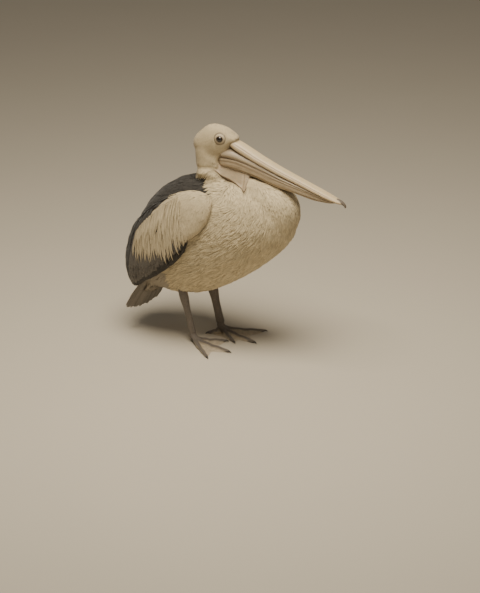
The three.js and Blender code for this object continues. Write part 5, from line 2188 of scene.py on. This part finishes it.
@dataclass(frozen=True)
class Studio:
    """The floor, the light and the camera.

    Attributes:
        azimuth: How far the camera stands to the bird's front, in degrees from its right side.
        elevation: How far it looks down, in degrees.
        distance: How far it stands from the target, in mm.
        aim: How far right of the target, and above it, it looks.
        lens: In mm, on a 36 mm sensor.
    """

    # each light's name, place and size in metres, power in watts, and colour
    LIGHTS = (
        ("overhead", (0.15, -0.55, 2.7), 1.6, 100.0, (1.0, 0.915, 0.765)),
        ("front", (2.2, -2.0, 1.9), 1.4, 7.0, (1.0, 0.93, 0.81)),
    )
    SKY, SKY_STRENGTH = (1.0, 0.93, 0.82, 1), 0.15

    azimuth: float = 26.0
    elevation: float = 21.0
    distance: float = 8000.0
    target: Point = (80.0, 0.0, 350.0)
    aim: tuple[float, float] = (3.0, -183.6)
    lens: float = 161.9

    def build(self) -> None:
        """Makes the floor, the lights and the camera."""
        self._floor()
        self._lights()
        self._camera()

    def _floor(self) -> None:
        """Makes a wide round floor at the bird's soles."""
        turn = np.linspace(0, 2 * np.pi, 96, endpoint=False)
        ring = np.stack([np.cos(turn), np.sin(turn), np.zeros(96)], -1)
        floor = strip_shell(np.array([ring * r for r in (0.5, 2, 8, 40)]) / MM, np.zeros(3), None)
        if floor.normals()[0][2] < 0:
            floor.tris = floor.tris[:, ::-1]
        floor.object("floor", [Finishes.FLOOR.material()])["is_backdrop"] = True

    def _lights(self) -> None:
        """Makes a broad soft light overhead, a weak one in front, and a pale surround."""
        world = bpy.data.worlds.new("studio")
        bpy.context.scene.world = world
        world.use_nodes = True
        sky = world.node_tree.nodes["Background"]
        sky.inputs["Color"].default_value = self.SKY
        sky.inputs["Strength"].default_value = self.SKY_STRENGTH
        for name, place, size, power, color in self.LIGHTS:
            lamp = bpy.data.lights.new(name, "AREA")
            lamp.shape, lamp.size, lamp.energy, lamp.color = "DISK", size, power, color
            thing = bpy.data.objects.new(name, lamp)
            thing.location = place
            way = Vector((0, 0, 0.35)) - Vector(place)
            thing.rotation_euler = way.to_track_quat("-Z", "Y").to_euler()
            bpy.context.scene.collection.objects.link(thing)

    def _camera(self) -> None:
        """Makes the camera."""
        a, e = math.radians(self.azimuth), math.radians(self.elevation)
        out = np.array([math.sin(a) * math.cos(e), -math.cos(a) * math.cos(e), math.sin(e)])
        right = np.array([math.cos(a), math.sin(a), 0])
        up = np.cross(out, right)
        target = np.array(self.target)
        looked_at = target + self.aim[0] * right + self.aim[1] * up
        lens = bpy.data.cameras.new("camera")
        lens.lens, lens.sensor_width, lens.sensor_fit = self.lens, 36.0, "AUTO"
        lens.clip_end = 200
        camera = bpy.data.objects.new("camera", lens)
        place = Vector(Place.at(target + self.distance * out))
        camera.location = place
        camera.rotation_euler = (Vector(Place.at(looked_at)) - place).to_track_quat("-Z", "Y").to_euler()
        bpy.context.scene.collection.objects.link(camera)
        bpy.context.scene.camera = camera


def write_sizes() -> None:
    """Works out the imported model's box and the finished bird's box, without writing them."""
    plain = lambda box: [[float(v) for v in corner] for corner in box]
    {"cad": plain(CAD_BOX), "visual": plain(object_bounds())}


def main() -> None:
    """Builds the bird, piece by piece."""
    logging.basicConfig(level=logging.INFO, format="%(message)s", stream=sys.stdout)
    Studio().build()
    body = Body()
    skin_map = body.build_skin()
    body.bill.build()
    for eye in body.eyes:
        eye.build()
    for leg in LEGS:
        leg.build(skin_map)
    Plumage(body, skin_map).build()
    for side in SIDES:
        WingFeathers(side).build(body, skin_map)
    Tail().build(skin_map)
    write_sizes()


if __name__ == "__main__":
    main()
